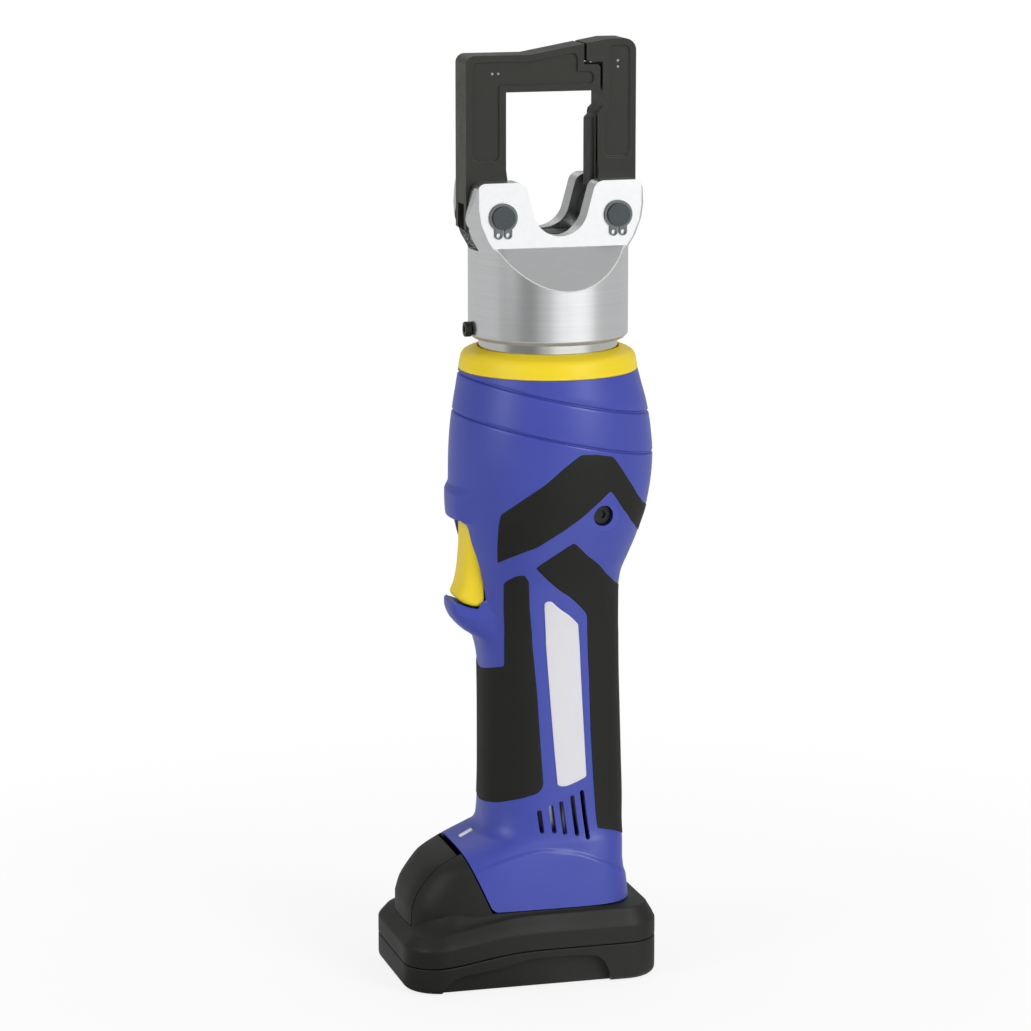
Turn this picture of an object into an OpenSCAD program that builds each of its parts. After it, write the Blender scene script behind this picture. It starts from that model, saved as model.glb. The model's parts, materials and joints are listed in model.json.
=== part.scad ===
// Hydraulic crimping tool: a battery foot, a moulded grip, a swivel head and a crimp frame that swings open.
// +Z runs up the tool axis, -X points to the trigger side, and the origin lies on the standing plane.

/* [Battery pack] */
// Reach of the pack ahead of the tool axis
pack_front = 65.5; // [63:0.5:70]
// Reach of the pack behind the tool axis
pack_rear = 39; // [36:0.5:42]
// Width of the pack
pack_w = 70; // [68:0.5:78]
// Radius of the pack's upright corners
pack_corner_r = 15; // [11:0.5:19]
// Height of the pack's upright sides
pack_side_h = 23; // [20:0.5:24]
// How far the top of the sides falls towards the front
pack_side_fall = 4.8; // [3:0.1:6]
// Height of the deck that slides under the grip
pack_deck_h = 30.5; // [29:0.5:34]
// How far the sides slope in up to the deck
pack_bevel = 5.2; // [4:0.1:6]
// Bevel round the standing face
pack_foot_bevel = 2; // [1:0.1:3]
// Wall of the pack's two cases
pack_wall = 2.2; // [1.6:0.1:2.6]
// Height of the seam between the two cases
seam_h = 15.5; // [14:0.5:17]
// How far the seam dips towards the front
seam_dip = 5; // [3:0.5:8]
// Depth of the finger scoop in each side
scoop_depth = 4; // [2:0.5:4.5]
// Height of the finger scoops
scoop_h = 12.3; // [9:0.1:13]
// Diameter of a cell
cell_d = 18.2; // [17:0.1:18.6]
// Length of a cell
cell_l = 65; // [60:0.5:68]
// Thickness of the release button
button_t = 3.4; // [2.6:0.1:4]
// Half width of the release button at its top
button_top_half = 17; // [14:0.5:18]
// Half width of the release button at its foot
button_foot_half = 13.5; // [10:0.5:14]

/* [Moulded body] */
// Height of the body from the pack's deck to the collar
body_h = 214.2; // [208:0.2:222]
// Wall of the body shells
body_wall = 2.6; // [2:0.1:3]
// Reach of the grip to the front
grip_front = 28; // [27:0.1:31]
// Reach of the grip to the rear
grip_rear = 29.1; // [28:0.1:32]
// Half width of the grip
grip_half_w = 22.8; // [22.6:0.1:25]
// Reach of the barrel to the front
barrel_front = 39.8; // [39:0.1:43]
// Reach of the barrel to the rear
barrel_rear = 42; // [41:0.1:45]
// Half width of the barrel
barrel_half_w = 39; // [38.5:0.1:42]
// Radius of the body under the collar
collar_r = 35.6; // [35:0.1:37]
// How far the finger guard stands proud below the trigger
guard_proud = 11.6; // [9:0.1:13]
// How far the brow stands proud above the trigger
brow_proud = 2.6; // [1:0.1:4]
// Depth of the slanted grooves round the barrel
groove_depth = 0.8; // [0.4:0.1:1.2]
// Width of the slanted grooves
groove_w = 1.6; // [1:0.1:2.4]
// Width of a vent slot
vent_w = 1.9; // [1.2:0.1:2.4]
// How far the soft grips stand proud of the body
inlay_proud = 0.9; // [0.6:0.1:1.4]
// Height of the collar ring
collar_h = 9.3; // [8:0.1:11]

/* [Trigger] */
// Width of the trigger
trigger_w = 21; // [17:0.5:22]
// Drop from the trigger pivot to its lower end
trigger_drop = 39; // [37:0.1:39.6]
// Reach from the trigger pivot to its front tip
trigger_reach = 10.2; // [10:0.1:12]
// Radius of the trigger pin
trigger_pin_r = 1.5; // [1.2:0.1:2]

/* [Drive] */
// Radius of the motor can
motor_r = 17.5; // [15:0.1:18.5]
// Length of the motor can
motor_l = 58; // [52:0.5:60]
// Module of the gear teeth
gear_m = 0.65; // [0.6:0.01:0.68]
// Face width of the gears
gear_w = 9; // [7:0.5:11]
// Throw of the pump eccentric
eccentric_throw = 1.5; // [1:0.1:2]

/* [Hydraulics] */
// Radius of the swivel neck
neck_r = 27.6; // [27:0.1:28.4]
// Radius of the cylinder bore in the neck
cylinder_r = 20; // [18:0.1:21]
// Radius of the ram rod
rod_r = 11; // [9:0.1:12]
// Length of the piston
piston_l = 12; // [10:0.5:14]
// Stroke of the ram
ram_stroke = 16; // [12:0.5:17]

/* [Head] */
// Radius of the head
head_r = 31.7; // [31.2:0.1:33]
// Gap between the collar and the head
neck_show = 3.5; // [2:0.1:5]
// Height of the hinge pins above the head's base
pin_h = 49.5; // [48:0.1:52]
// Distance of each hinge pin from the tool axis
pin_x = 23.3; // [22.6:0.1:24]
// Radius of the hinge pins
pin_r = 4.6; // [4:0.1:5]
// Height of the ears above the hinge pins
ear_rise = 13.4; // [12:0.1:14.5]
// Half thickness across both ears
ear_half_t = 18; // [17:0.1:20]
// Height of the flat ear faces above the head's base
ear_face_h = 37.3; // [36:0.1:39]
// How far the sloping faces drop to the head's wall
slope_drop = 16.1; // [13:0.1:18]
// Radius of the rounded notch between the ears
notch_r = 11.2; // [10:0.1:12]
// Height of the notch above the head's base
notch_h = 41.5; // [40:0.1:43]

/* [Crimp frame] */
// Thickness of the swing frame and the latch
frame_t = 16; // [14:0.1:16.4]
// Reach of the frame's outer edge on the hinge side
frame_left = 35.5; // [34:0.1:37]
// Reach of the latch's outer edge
frame_right = 33.5; // [32.6:0.1:35]
// Width of the frame's upright
upright_w = 16.2; // [14:0.1:17]
// Height of the window above the hinge pins
window_h = 47.6; // [44:0.1:54]
// Height of the top bar
bar_h = 14.4; // [13:0.1:16]
// How far the top edge rises towards the latch
bar_rise = 5.6; // [4:0.1:8]
// Where the latch's beak ends
beak_x = 12.8; // [11:0.1:14]
// Length of the tongue under the beak
tongue_l = 6.6; // [5:0.1:7.4]
// Height of the tongue
tongue_h = 10.2; // [9:0.1:11]
// Gap between the tongue and the latch
latch_gap = 1; // [1:0.1:1.4]
// Inner reach of the latch's face
latch_in = 18; // [17:0.1:19]
// How far the latch's rail stands in from its face
rail_proud = 2.4; // [1.5:0.1:3]
// Depth of the recessed panels
panel_depth = 0.9; // [0.5:0.1:1.4]
// Border round the recessed panels
panel_border = 2.6; // [2.2:0.1:4]

/* [Hidden] */
$fn = 48;

// Clearances and overruns
overrun = 1;
run_gap = 0.3;
fit_gap = 0.05;
slide_gap = 0.5;
seat_gap = 0.05;
screw_r = 2;

// Plain helpers
function mix(a, b, share) = a + (b - a) * share;
function power(v, p) = sign(v) * pow(abs(v), p);
function joined(lists) = [for (l = lists) for (v = l) v];
function column(table, c) = [for (r = table) [r[0], r[c]]];

// Levels up the tool
skirt_z = pack_deck_h + slide_gap;
body_top = skirt_z + body_h;
head_z = body_top + collar_h + neck_show;
pin_z = head_z + pin_h;
ear_top = pin_z + ear_rise;
window_z = pin_z + window_h;
bar_top = window_z + bar_h;
frame_top = bar_top + bar_rise;

// The moulded body is a loft through sections that blend between four zones: [front, rear, half width]
nose_setback = 4;
skirt_setback = 9.4;
foot_zone = [pack_front - nose_setback, pack_rear - skirt_setback, pack_w / 2 - pack_bevel];
grip_zone = [grip_front, grip_rear, grip_half_w];
barrel_zone = [barrel_front, barrel_rear, barrel_half_w];
top_zone = [collar_r, collar_r, collar_r];

// Each row: level, blend of the front, of the rear and of the width, squareness, guard, brow
foot_to_grip_shares = [
    [0.000, 0.00, 0.00, 0.00, 3.6, 0, 0],
    [0.026, 0.05, 0.15, 0.09, 3.6, 0, 0],
    [0.044, 0.12, 0.26, 0.16, 3.6, 0, 0],
    [0.061, 0.20, 0.35, 0.24, 3.6, 0, 0],
    [0.072, 0.26, 0.41, 0.30, 3.6, 0, 0],
    [0.091, 0.45, 0.47, 0.40, 3.5, 0, 0],
    [0.104, 0.62, 0.50, 0.49, 3.4, 0, 0],
    [0.118, 0.82, 0.56, 0.57, 3.2, 0, 0],
    [0.128, 0.93, 0.59, 0.64, 2.9, 0, 0],
    [0.145, 0.98, 0.62, 0.73, 2.6, 0, 0],
    [0.182, 0.99, 0.71, 0.87, 2.5, 0, 0],
    [0.252, 1.00, 0.85, 0.97, 2.5, 0, 0],
    [0.345, 1.00, 1.00, 1.00, 2.5, 0, 0]
];
grip_to_barrel_shares = [
    [0.439, 0.02, -0.04, 0.00, 2.5, 0, 0],
    [0.495, 0.05, -0.05, 0.02, 2.5, 0.16, 0],
    [0.518, 0.08, -0.06, 0.04, 2.4, 0.67, 0],
    [0.542, 0.13, -0.07, 0.07, 2.3, 0.97, 0],
    [0.565, 0.20, -0.08, 0.11, 2.2, 1, 0],
    [0.577, 0.24, -0.08, 0.14, 2.2, 0.96, 0],
    [0.584, 0.30, -0.08, 0.16, 2.3, 0, 0],
    [0.616, 0.34, -0.02, 0.27, 2.3, 0, 0],
    [0.649, 0.47, 0.20, 0.45, 2.2, 0, 0],
    [0.682, 0.68, 0.46, 0.63, 2.1, 0, 0],
    [0.719, 0.85, 0.66, 0.80, 2.1, 0, 0],
    [0.728, 0.88, 0.71, 0.83, 2.1, 0, 1],
    [0.780, 0.97, 0.92, 0.96, 2.0, 0, 0.8],
    [0.805, 1.00, 0.98, 0.99, 2.0, 0, 0.3],
    [0.840, 1.00, 1.00, 1.00, 2.0, 0, 0]
];
barrel_to_top_shares = [
    [0.887, 0.14, 0.12, 0.12, 2, 0, 0],
    [0.934, 0.45, 0.39, 0.41, 2, 0, 0],
    [0.971, 0.76, 0.73, 0.73, 2, 0, 0],
    [1.000, 1.00, 1.00, 1.00, 2, 0, 0]
];

function body_section(s, a, b) = [
    skirt_z + s[0] * body_h,
    mix(a[0], b[0], s[1]) + s[5] * guard_proud + s[6] * brow_proud,
    mix(a[1], b[1], s[2]),
    mix(a[2], b[2], s[3]),
    s[4],
    mix(a[0], b[0], s[1])
];
body_sections = concat(
    [for (s = foot_to_grip_shares) body_section(s, foot_zone, grip_zone)],
    [for (s = grip_to_barrel_shares) body_section(s, grip_zone, barrel_zone)],
    [for (s = barrel_to_top_shares) body_section(s, barrel_zone, top_zone)]
);
front_curve = column(body_sections, 1);
rear_curve = column(body_sections, 2);
width_curve = column(body_sections, 3);
square_curve = column(body_sections, 4);
core_curve = column(body_sections, 5);

// A point of the body's skin at a turn from the rear (0) by the -Y side to the front (180)
function curve_point(turn, z, off, weight) =
    let (
        n = lookup(z, square_curve),
        front = mix(lookup(z, core_curve), lookup(z, front_curve), weight),
        reach = (cos(turn) < 0 ? front : lookup(z, rear_curve)) + off,
        half_w = lookup(z, width_curve) + off
    )
    [power(cos(turn), 2 / n) * reach, -power(sin(turn), 2 / n) * half_w, z];
// The guard and the brow stand out at the front and fade towards the sides
guard_fade_shares = [[0.62, 0], [0.69, 0.14], [0.77, 0.5], [0.86, 0.86], [0.93, 1]];
function skin_point(turn, z, off) = curve_point(turn, z, off, lookup(-cos(turn), guard_fade_shares));
function core_point(turn, z, off) = curve_point(turn, z, off, 0);
function skin_y(x, z, off) =
    let (
        n = lookup(z, square_curve),
        reach = lookup(z, x < 0 ? front_curve : rear_curve) + off
    )
    (lookup(z, width_curve) + off) * pow(max(0, 1 - pow(abs(x) / reach, n)), 1 / n);

// The joint between the skirt and the pack's nose leans forward from the deck
joint_x = 31;
joint_lean = 24.2;
joint_gap = 0.6;
joint_top_h = 40;

// Slanted grooves round the barrel
groove_tilt = 12.3;
groove_level_shares = [0.888, 0.957];
band_start_share = 0.805;
band_mid_share = 0.922;
turn_steps = 16;

// Soft grips, as pairs of edge points: [turn of edge a, level of a, turn of edge b, level of b]
upper_grip_shares = [
    [0.758, 0.658, 0.724, 0.756],
    [0.633, 0.696, 0.600, 0.812],
    [0.516, 0.734, 0.477, 0.868],
    [0.444, 0.765, 0.425, 0.866],
    [0.383, 0.792, 0.379, 0.857],
    [0.294, 0.753, 0.300, 0.810],
    [0.211, 0.713, 0.223, 0.764],
    [0.100, 0.691, 0.111, 0.735],
    [0.000, 0.684, 0.000, 0.728]
];
front_grip_shares = [
    [0.746, 0.620, 0.618, 0.619],
    [0.756, 0.537, 0.603, 0.509],
    [0.767, 0.458, 0.589, 0.392],
    [0.775, 0.453, 0.567, 0.217],
    [0.878, 0.448, 0.778, 0.194],
    [1.000, 0.446, 1.000, 0.182]
];
rear_grip_shares = [
    [0.493, 0.700, 0.608, 0.652],
    [0.356, 0.651, 0.511, 0.599],
    [0.219, 0.603, 0.414, 0.546],
    [0.100, 0.572, 0.406, 0.486],
    [0.000, 0.560, 0.400, 0.425],
    [0.000, 0.415, 0.394, 0.322],
    [0.000, 0.275, 0.383, 0.229],
    [0.000, 0.103, 0.372, 0.140]
];
label_shares = [
    [0.458, 0.534, 0.560, 0.586],
    [0.423, 0.243, 0.509, 0.222]
];
label_t = 0.3;
patch_steps = 4;
station_steps = 2;

// Vents: place across the grip and levels of the ends of each slot, as shares
vent_place_shares = [-0.39, -0.17, 0.02, 0.24, 0.44];
vent_foot_shares = [0.138, 0.137, 0.133, 0.129, 0.121];
vent_head_shares = [0.182, 0.191, 0.197, 0.207, 0.215];
vent_lean = 6;

// Housing screw, its boss and recess
screw_x = 12.7;
screw_level_share = 0.747;
screw_z = skirt_z + screw_level_share * body_h;
boss_r = 6.5;
recess_r = 4.2;
recess_depth = 5.5;
screw_head_r = 3.7;
screw_head_h = 2.6;
screw_l = 17;

// Status lens on the shoulder above the joint
lens_x = 34.2;
lens_l = 6;
lens_w = 2.6;
lens_t = 2.2;
lens_proud = 0.4;
lens_slope = 27;
lens_level_share = 0.1181;
lens_z = skirt_z + lens_level_share * body_h;

// Trigger place
trigger_x = -29.5;
trigger_level_share = 0.7445;
trigger_z = skirt_z + trigger_level_share * body_h;
trigger_gap = 0.7;
trigger_eye_r = 4.2;
trigger_round = 4;
trigger_outline_shares = [
    [0.57, 0.11], [0.60, 0.21], [0.63, 0.37], [0.71, 0.60], [0.83, 0.77], [1.00, 0.90], [0.96, 0.935],
    [0.54, 0.98], [0.22, 1.00], [0.02, 0.985], [-0.03, 0.92], [0.00, 0.50], [0.00, 0.15], [-0.12, 0.06]
];
pin_boss_r = 3.6;
trigger_pin_seat = 7;

// Rail frame in the skirt, and the tower of the pack that slides in it
rail_side_gap = 8.3;
rail_half_w = foot_zone[2] - rail_side_gap;
rail_front = 24;
rail_rear = 20;
rail_t = 2.4;
rail_leg_t = 3;
rail_h = 5;
rail_in = 4.3;
tower_neck_half = rail_half_w - rail_leg_t - rail_in - slide_gap;
tower_half = rail_half_w - rail_leg_t - slide_gap;
tower_flange_h = 5.5;
tower_neck_h = rail_h + 2 * slide_gap + run_gap;
tower_front = 40;
tower_rear = 11;
rail_z = skirt_z + slide_gap;
tower_top = pack_deck_h + tower_neck_h + tower_flange_h;
rail_top = tower_top + slide_gap + rail_t;
rib_h = 3;
rib_front = 18;
rib_rear = 10;

// Terminals
blade_t = 0.8;
blade_l = 9;
blade_pitch = 7;
blade_h = 4.5;
blade_gap = 0.6;
contact_t = 0.3;

// Drive train levels
motor_boss_h = 4;
motor_boss_r = 6;
motor_z = rail_top + motor_boss_h;
gear_z = motor_z + motor_l;
sun_teeth = 15;
planet_teeth = 18;
ring_teeth = sun_teeth + 2 * planet_teeth;
carrier_ratio = sun_teeth / (sun_teeth + ring_teeth);
orbit_r = gear_m * (sun_teeth + planet_teeth) / 2;
gear_pressure = 20;
gear_lash = 0.16;
gear_addendum_share = 0.85;
gear_dedendum_share = 1.2;
ring_wall = 2.2;
ring_r = gear_m * ring_teeth / 2 + gear_dedendum_share * gear_m + ring_wall;
ring_floor = 2;
ring_h = ring_floor + gear_w + 2 * slide_gap;
carrier_t = 4;
carrier_r = gear_m * ring_teeth / 2 - gear_m - run_gap;
planet_pin_r = 1.5;
shaft_r = 2.5;
pinion_bore_gap = 0.6;
rotor_r = motor_r - 4;
rotor_l = motor_l - 16;
eccentric_r = 5;
eccentric_h = 7;
bearing_t = 2;
carrier_z = gear_z + ring_floor + slide_gap + gear_w + slide_gap;
eccentric_z = carrier_z + carrier_t + run_gap;
block_z = gear_z + ring_h;
block_lower_r = ring_r;
block_upper_r = 24.6;
block_step_share = 0.69;
block_step_z = skirt_z + block_step_share * body_h;
neck_sink = 8;
block_top = body_top - neck_sink;
chamber_r = eccentric_r + bearing_t + eccentric_throw + 2 * slide_gap;
chamber_top = eccentric_z + eccentric_h + 2 * slide_gap;
plunger_r = 3.5;
bladder_t = 6;
bladder_level_shares = [0.80, 0.95];
board_t = 1.6;
board_half_w = 11;
board_h = 52;
board_stand_off = 2.2;
board_x = motor_r + board_stand_off;

// Switch
switch_half_w = 8;
switch_d = 4.8;
plunger_drop_share = 0.49;
plunger_z = trigger_z - plunger_drop_share * trigger_drop;
plunger_pin_r = 1.8;
switch_drop = 9;
switch_z = plunger_z - switch_drop;
switch_h = block_step_z - switch_z - run_gap;
switch_back = -block_lower_r - seat_gap;
switch_front = switch_back - switch_d;

// Hydraulic cylinder, ram and head
neck_z = block_top;
neck_in_head = 20;
neck_h = head_z - neck_z + neck_in_head;
neck_top = neck_z + neck_h;
piston_z = neck_z + overrun;
piston_top = piston_z + piston_l;
piston_head_share = 0.5;
seal_w = 3;
seal_depth = 1.6;
slot_drop = 14;
slot_z = pin_z - slot_drop;
slot_gap = 0.35;
slot_half = frame_t / 2 + slot_gap;
web_z = neck_top + slide_gap;
holder_half_w = 14;
holder_t = 15;
holder_h = 5.5;
holder_z = slot_z + slide_gap;
spring_wire_r = 0.9;
spring_turns = 4;
head_chamfer = 1.5;
ear_flare_shares = [[0.0, 0.0], [0.28, 0.46], [0.66, 0.86], [1.0, 1.0]];
ear_flare = 5.8;
ear_flare_h = 17;
ear_taper = 2.6;
ear_taper_h = 14.5;
ear_top_half = 33.3;
ear_corner_r = 3;
notch_round = 4.5;
notch_lean = 15;
head_screw_r = 3;
head_screw_h = 2.6;
head_screw_level = 3.7;
head_screw_shank = 3;
pin_over = 2;
circlip_t = 1;
circlip_w = 1.1;
circlip_lug_r = 1.6;
circlip_lug_x = 1.9;
circlip_lug_drop = 2.2;
circlip_hole_r = 0.9;
circlip_mouth = 0.6;

// Crimp frame outline
frame_corner_r = 3.6;
eye_r = 9;
eye_meet_shares = [0.6, 0.78];
tongue_cut = 1;
arm_end_drop = 8.8;
arm_corner_drop = 5.6;
arm_corner_in = 5;
flare_z = 17.5;
rise_x = -9.5;
latch_top_x = 22;
latch_corner_r = 4.6;
rail_half_t = 4.6;
rail_top_drop = 9;
recess_drop = 6.6;
panel_foot = 21;
panel_round = 2.4;
dot_r = 0.8;
dot_depth = 0.5;
dot_pitch = 2.4;
relief_half_t = 4.5;
relief_depth = 4;
relief_h = 12.5;
relief_drop = 8.4;
pin_gap = 0.05;

// Pack inside
cell_n = 3;
cell_gap = 0.35;
cell_front = 52;
cell_z = pack_wall + cell_gap + cell_d / 2;
cell_pitch = cell_d + cell_gap;
strap_t = 0.3;
strap_w = 8;
scoop_front = 52.5;
scoop_rear = 17.5;
scoop_lean = 34;
scoop_end = 4;
seam_bend_x = 20;
seam_low_x = 56;
nose_sink = 9;
button_gap = 0.6;
button_top_gap = 2;
button_pivot_r = 1.2;
button_pivot_l = 1.6;
button_pivot_in = 4.2;
button_pivot_rise = 3.2;
button_travel_room = 3.4;
button_foot_drop = 6.9;
button_foot_z = pack_deck_h - button_foot_drop;
button_pivot_x = -foot_zone[0] + button_pivot_in;
button_pivot_z = pack_deck_h + button_pivot_rise;
button_spring_sink = 13.3;
button_spring_r = 2.6;
button_spring_wire = 0.35;
button_spring_turns = 5;
button_spring_l = 8.6;
button_cup_depth = 6;
pack_screw_r = 1.4;
pack_screw_head_r = 2.6;
pack_screw_head_h = 1.8;
pack_screw_l = 9;
pack_screw_inset = 9;
ring_corner_steps = 4;

// A closed solid between an outer and an inner grid of points, with rows and columns alike
module thick_patch(outer, inner, flip = false) {
    rows = len(outer);
    cols = len(outer[0]);
    n = rows * cols;
    quads = concat(
        [for (r = [0:rows - 2]) for (c = [0:cols - 2])
            [r * cols + c, r * cols + c + 1, (r + 1) * cols + c + 1, (r + 1) * cols + c]],
        [for (r = [0:rows - 2]) for (c = [0:cols - 2])
            [n + r * cols + c, n + (r + 1) * cols + c, n + (r + 1) * cols + c + 1, n + r * cols + c + 1]],
        [for (c = [0:cols - 2]) [c + 1, c, n + c, n + c + 1]],
        [for (c = [0:cols - 2]) let (e = (rows - 1) * cols + c) [e, e + 1, n + e + 1, n + e]],
        [for (r = [0:rows - 2]) [r * cols, (r + 1) * cols, n + (r + 1) * cols, n + r * cols]],
        [for (r = [0:rows - 2]) let (e = r * cols + cols - 1) [e + cols, e, n + e, n + e + cols]]
    );
    triangles = joined([for (q = quads) [[q[0], q[1], q[2]], [q[0], q[2], q[3]]]]);
    polyhedron(
        points = concat(joined(outer), joined(inner)),
        faces = flip ? [for (t = triangles) [t[2], t[1], t[0]]] : triangles
    );
}

// A closed solid through convex rings of equally many points
module loft(rings) {
    m = len(rings[0]);
    last = len(rings) - 1;
    walls = joined([for (r = [0:last - 1]) for (c = [0:m - 1])
        let (d = (c + 1) % m)
        [[r * m + c, r * m + d, (r + 1) * m + d], [r * m + c, (r + 1) * m + d, (r + 1) * m + c]]]);
    foot_cap = [for (c = [1:m - 2]) [0, c + 1, c]];
    head_cap = [for (c = [1:m - 2]) [last * m, last * m + c, last * m + c + 1]];
    polyhedron(points = joined(rings), faces = concat(walls, foot_cap, head_cap));
}

// A coil of round wire about Z, as one unbroken tube
spring_sides = 6;
spring_rings = 8;
function coil_centre(i, turns, r, h) =
    let (a = 360 * i / spring_rings) [r * cos(a), r * sin(a), h * i / (turns * spring_rings)];
module coil(turns, r, wire_r, h) {
    rings = [for (i = [0:turns * spring_rings])
        let (a = 360 * i / spring_rings, c = coil_centre(i, turns, r, h))
        [for (k = [0:spring_sides - 1])
            let (b = 360 * k / spring_sides)
            c + wire_r * [cos(b) * cos(a), cos(b) * sin(a), -sin(b)]]];
    m = spring_sides;
    last = len(rings) - 1;
    walls = joined([for (i = [0:last - 1]) for (c = [0:m - 1])
        let (d = (c + 1) % m)
        [[i * m + c, (i + 1) * m + d, i * m + d], [i * m + c, (i + 1) * m + c, (i + 1) * m + d]]]);
    caps = concat(
        [for (c = [1:m - 2]) [0, c, c + 1]],
        [for (c = [1:m - 2]) [last * m, last * m + c + 1, last * m + c]]
    );
    polyhedron(points = joined(rings), faces = concat(walls, caps));
}
function coil_gap(turns, h, wire_r) = h / turns - 2 * wire_r;

// A plate with its outline in X and Z, centred on Y = 0
module plate(t) {
    rotate([90, 0, 0]) linear_extrude(t, center = true) children();
}

// A round bar along Y between two places
module bar_y(r, y0, y1) {
    translate([0, y0, 0]) rotate([-90, 0, 0]) cylinder(r = r, h = y1 - y0);
}

// Body shells

function shell_turns() = [for (i = [0:turn_steps]) 180 * i / turn_steps];
function groove_rings(z) = [
    [z - groove_w * 0.65, groove_tilt, 0], [z - groove_w * 0.35, groove_tilt, groove_depth],
    [z + groove_w * 0.35, groove_tilt, groove_depth], [z + groove_w * 0.65, groove_tilt, 0]
];
band_start = skirt_z + band_start_share * body_h;
shell_rings = concat(
    [for (s = body_sections) if (s[0] <= band_start + fit_gap) [s[0], 0, 0]],
    groove_rings(skirt_z + groove_level_shares[0] * body_h),
    [[skirt_z + band_mid_share * body_h, groove_tilt, 0]],
    groove_rings(skirt_z + groove_level_shares[1] * body_h),
    [[body_top, 0, 0]]
);
function tilted_z(turn, ring) =
    min(body_top, ring[0] - tan(ring[1]) * skin_point(turn, ring[0], 0)[0]);

module half_shell() {
    outer = [for (ring = shell_rings) [for (t = shell_turns())
        skin_point(t, tilted_z(t, ring), -ring[2])]];
    inner = [for (ring = shell_rings) [for (t = shell_turns())
        core_point(t, tilted_z(t, ring), -body_wall)]];
    thick_patch(outer, inner);
}

// The body filled in, drawn in by an amount, between two levels
module body_fill(off, z0, z1) {
    levels = concat([z0], [for (s = body_sections) if (s[0] > z0 && s[0] < z1) s[0]], [z1]);
    loft([for (z = levels) [for (i = [0:2 * turn_steps - 1]) skin_point(180 * i / turn_steps, z, -off)]]);
}

// Everything ahead of the leaning joint, moved by a gap
module ahead_of_joint(gap) {
    x0 = -joint_x - gap;
    plate(2 * pack_w)
        polygon([
            [x0 + tan(joint_lean) * nose_sink, skirt_z - nose_sink],
            [x0 - tan(joint_lean) * joint_top_h, skirt_z + joint_top_h],
            [-2 * pack_front, skirt_z + joint_top_h],
            [-2 * pack_front, skirt_z - nose_sink]
        ]);
}
// The skirt's lower front corner, rounded off where the joint meets its edge
skirt_corner_r = 3.5;
skirt_corner_steps = 4;
module skirt_corner() {
    run = skirt_corner_r / tan(45 + joint_lean / 2);
    plate(2 * pack_w)
        polygon(concat(
            [[-joint_x - run, skirt_z - run], [run - joint_x, skirt_z - run]],
            [for (k = [0:skirt_corner_steps])
                let (a = mix(270, 180 + joint_lean, k / skirt_corner_steps))
                [run - joint_x + skirt_corner_r * cos(a), skirt_z + skirt_corner_r + skirt_corner_r * sin(a)]]
        ));
}

function trigger_point(i) =
    [trigger_x - trigger_outline_shares[i][0] * trigger_reach, trigger_z - trigger_outline_shares[i][1] * trigger_drop];
module trigger_window() {
    far_x = trigger_x - 2 * trigger_reach;
    back_x = trigger_x + trigger_reach;
    tip = trigger_point(5);
    lip = trigger_point(6);
    keel = trigger_point(7);
    tail = trigger_point(8);
    brow = trigger_point(0);
    plate(trigger_w + 2 * trigger_gap)
        polygon([
            [far_x, tip[1]], [tip[0] - trigger_gap, tip[1]], lip - [trigger_gap, trigger_gap] / 2,
            keel - [trigger_gap, trigger_gap], tail - [0, trigger_gap], [back_x, tail[1] - trigger_gap],
            [back_x, trigger_z], [trigger_x - trigger_eye_r, trigger_z],
            [brow[0] - 2 * trigger_gap, brow[1] + trigger_gap], [far_x, brow[1] + trigger_gap]
        ]);
}

module vents() {
    for (i = [0:len(vent_place_shares) - 1]) {
        foot = skirt_z + vent_foot_shares[i] * body_h;
        head = skirt_z + vent_head_shares[i] * body_h;
        translate([vent_place_shares[i] * grip_half_w, -grip_half_w, foot])
            rotate([0, -vent_lean, 0])
                translate([-vent_w / 2, -foot_zone[2], 0])
                    cube([vent_w, foot_zone[2] + 4 * body_wall, head - foot]);
    }
}

module lens_block(grow) {
    translate([-lens_x, 0, lens_z])
        rotate([0, -lens_slope, 0])
            translate([-lens_l / 2 - grow, -lens_w / 2 - grow, -lens_t - grow])
                cube([lens_l + 2 * grow, lens_w + 2 * grow, lens_t + lens_proud + 2 * grow]);
}

// The screw boss, pin boss and rail rib that stand in from the shell's wall
module shell_inner() {
    intersection() {
        union() {
            translate([screw_x, 0, screw_z]) bar_y(boss_r, -barrel_half_w, -boss_seat_y());
            translate([trigger_x, 0, trigger_z])
                bar_y(pin_boss_r, -barrel_half_w, -trigger_w / 2 - 2 * trigger_gap);
            translate([-rib_front, -foot_zone[2], rail_top - rail_t - rib_h])
                cube([rib_front + rib_rear, foot_zone[2] - rail_half_w - run_gap, rib_h]);
        }
        body_fill(body_wall / 2, skirt_z + overrun, body_top - overrun);
    }
}
function boss_seat_y() = sqrt(pow(block_upper_r, 2) - pow(screw_x - boss_r, 2)) + seat_gap;
function recess_y() = skin_y(screw_x, screw_z, 0) - recess_depth;

module shell_half() {
    difference() {
        union() {
            half_shell();
            shell_inner();
        }
        ahead_of_joint(0);
        skirt_corner();
        trigger_window();
        vents();
        lens_block(seat_gap);
        translate([screw_x, 0, screw_z]) bar_y(recess_r, -2 * barrel_half_w, -recess_y());
        translate([screw_x, 0, screw_z]) bar_y(screw_r, -barrel_half_w, 0);
        translate([trigger_x, 0, trigger_z]) bar_y(trigger_pin_r, -trigger_pin_y(), trigger_w);
    }
}
function trigger_pin_y() = trigger_w / 2 + trigger_pin_seat;

module housing_left() {
    color("royalblue") shell_half();
}

module housing_right() {
    color("royalblue") mirror([0, 1, 0]) shell_half();
}

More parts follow.
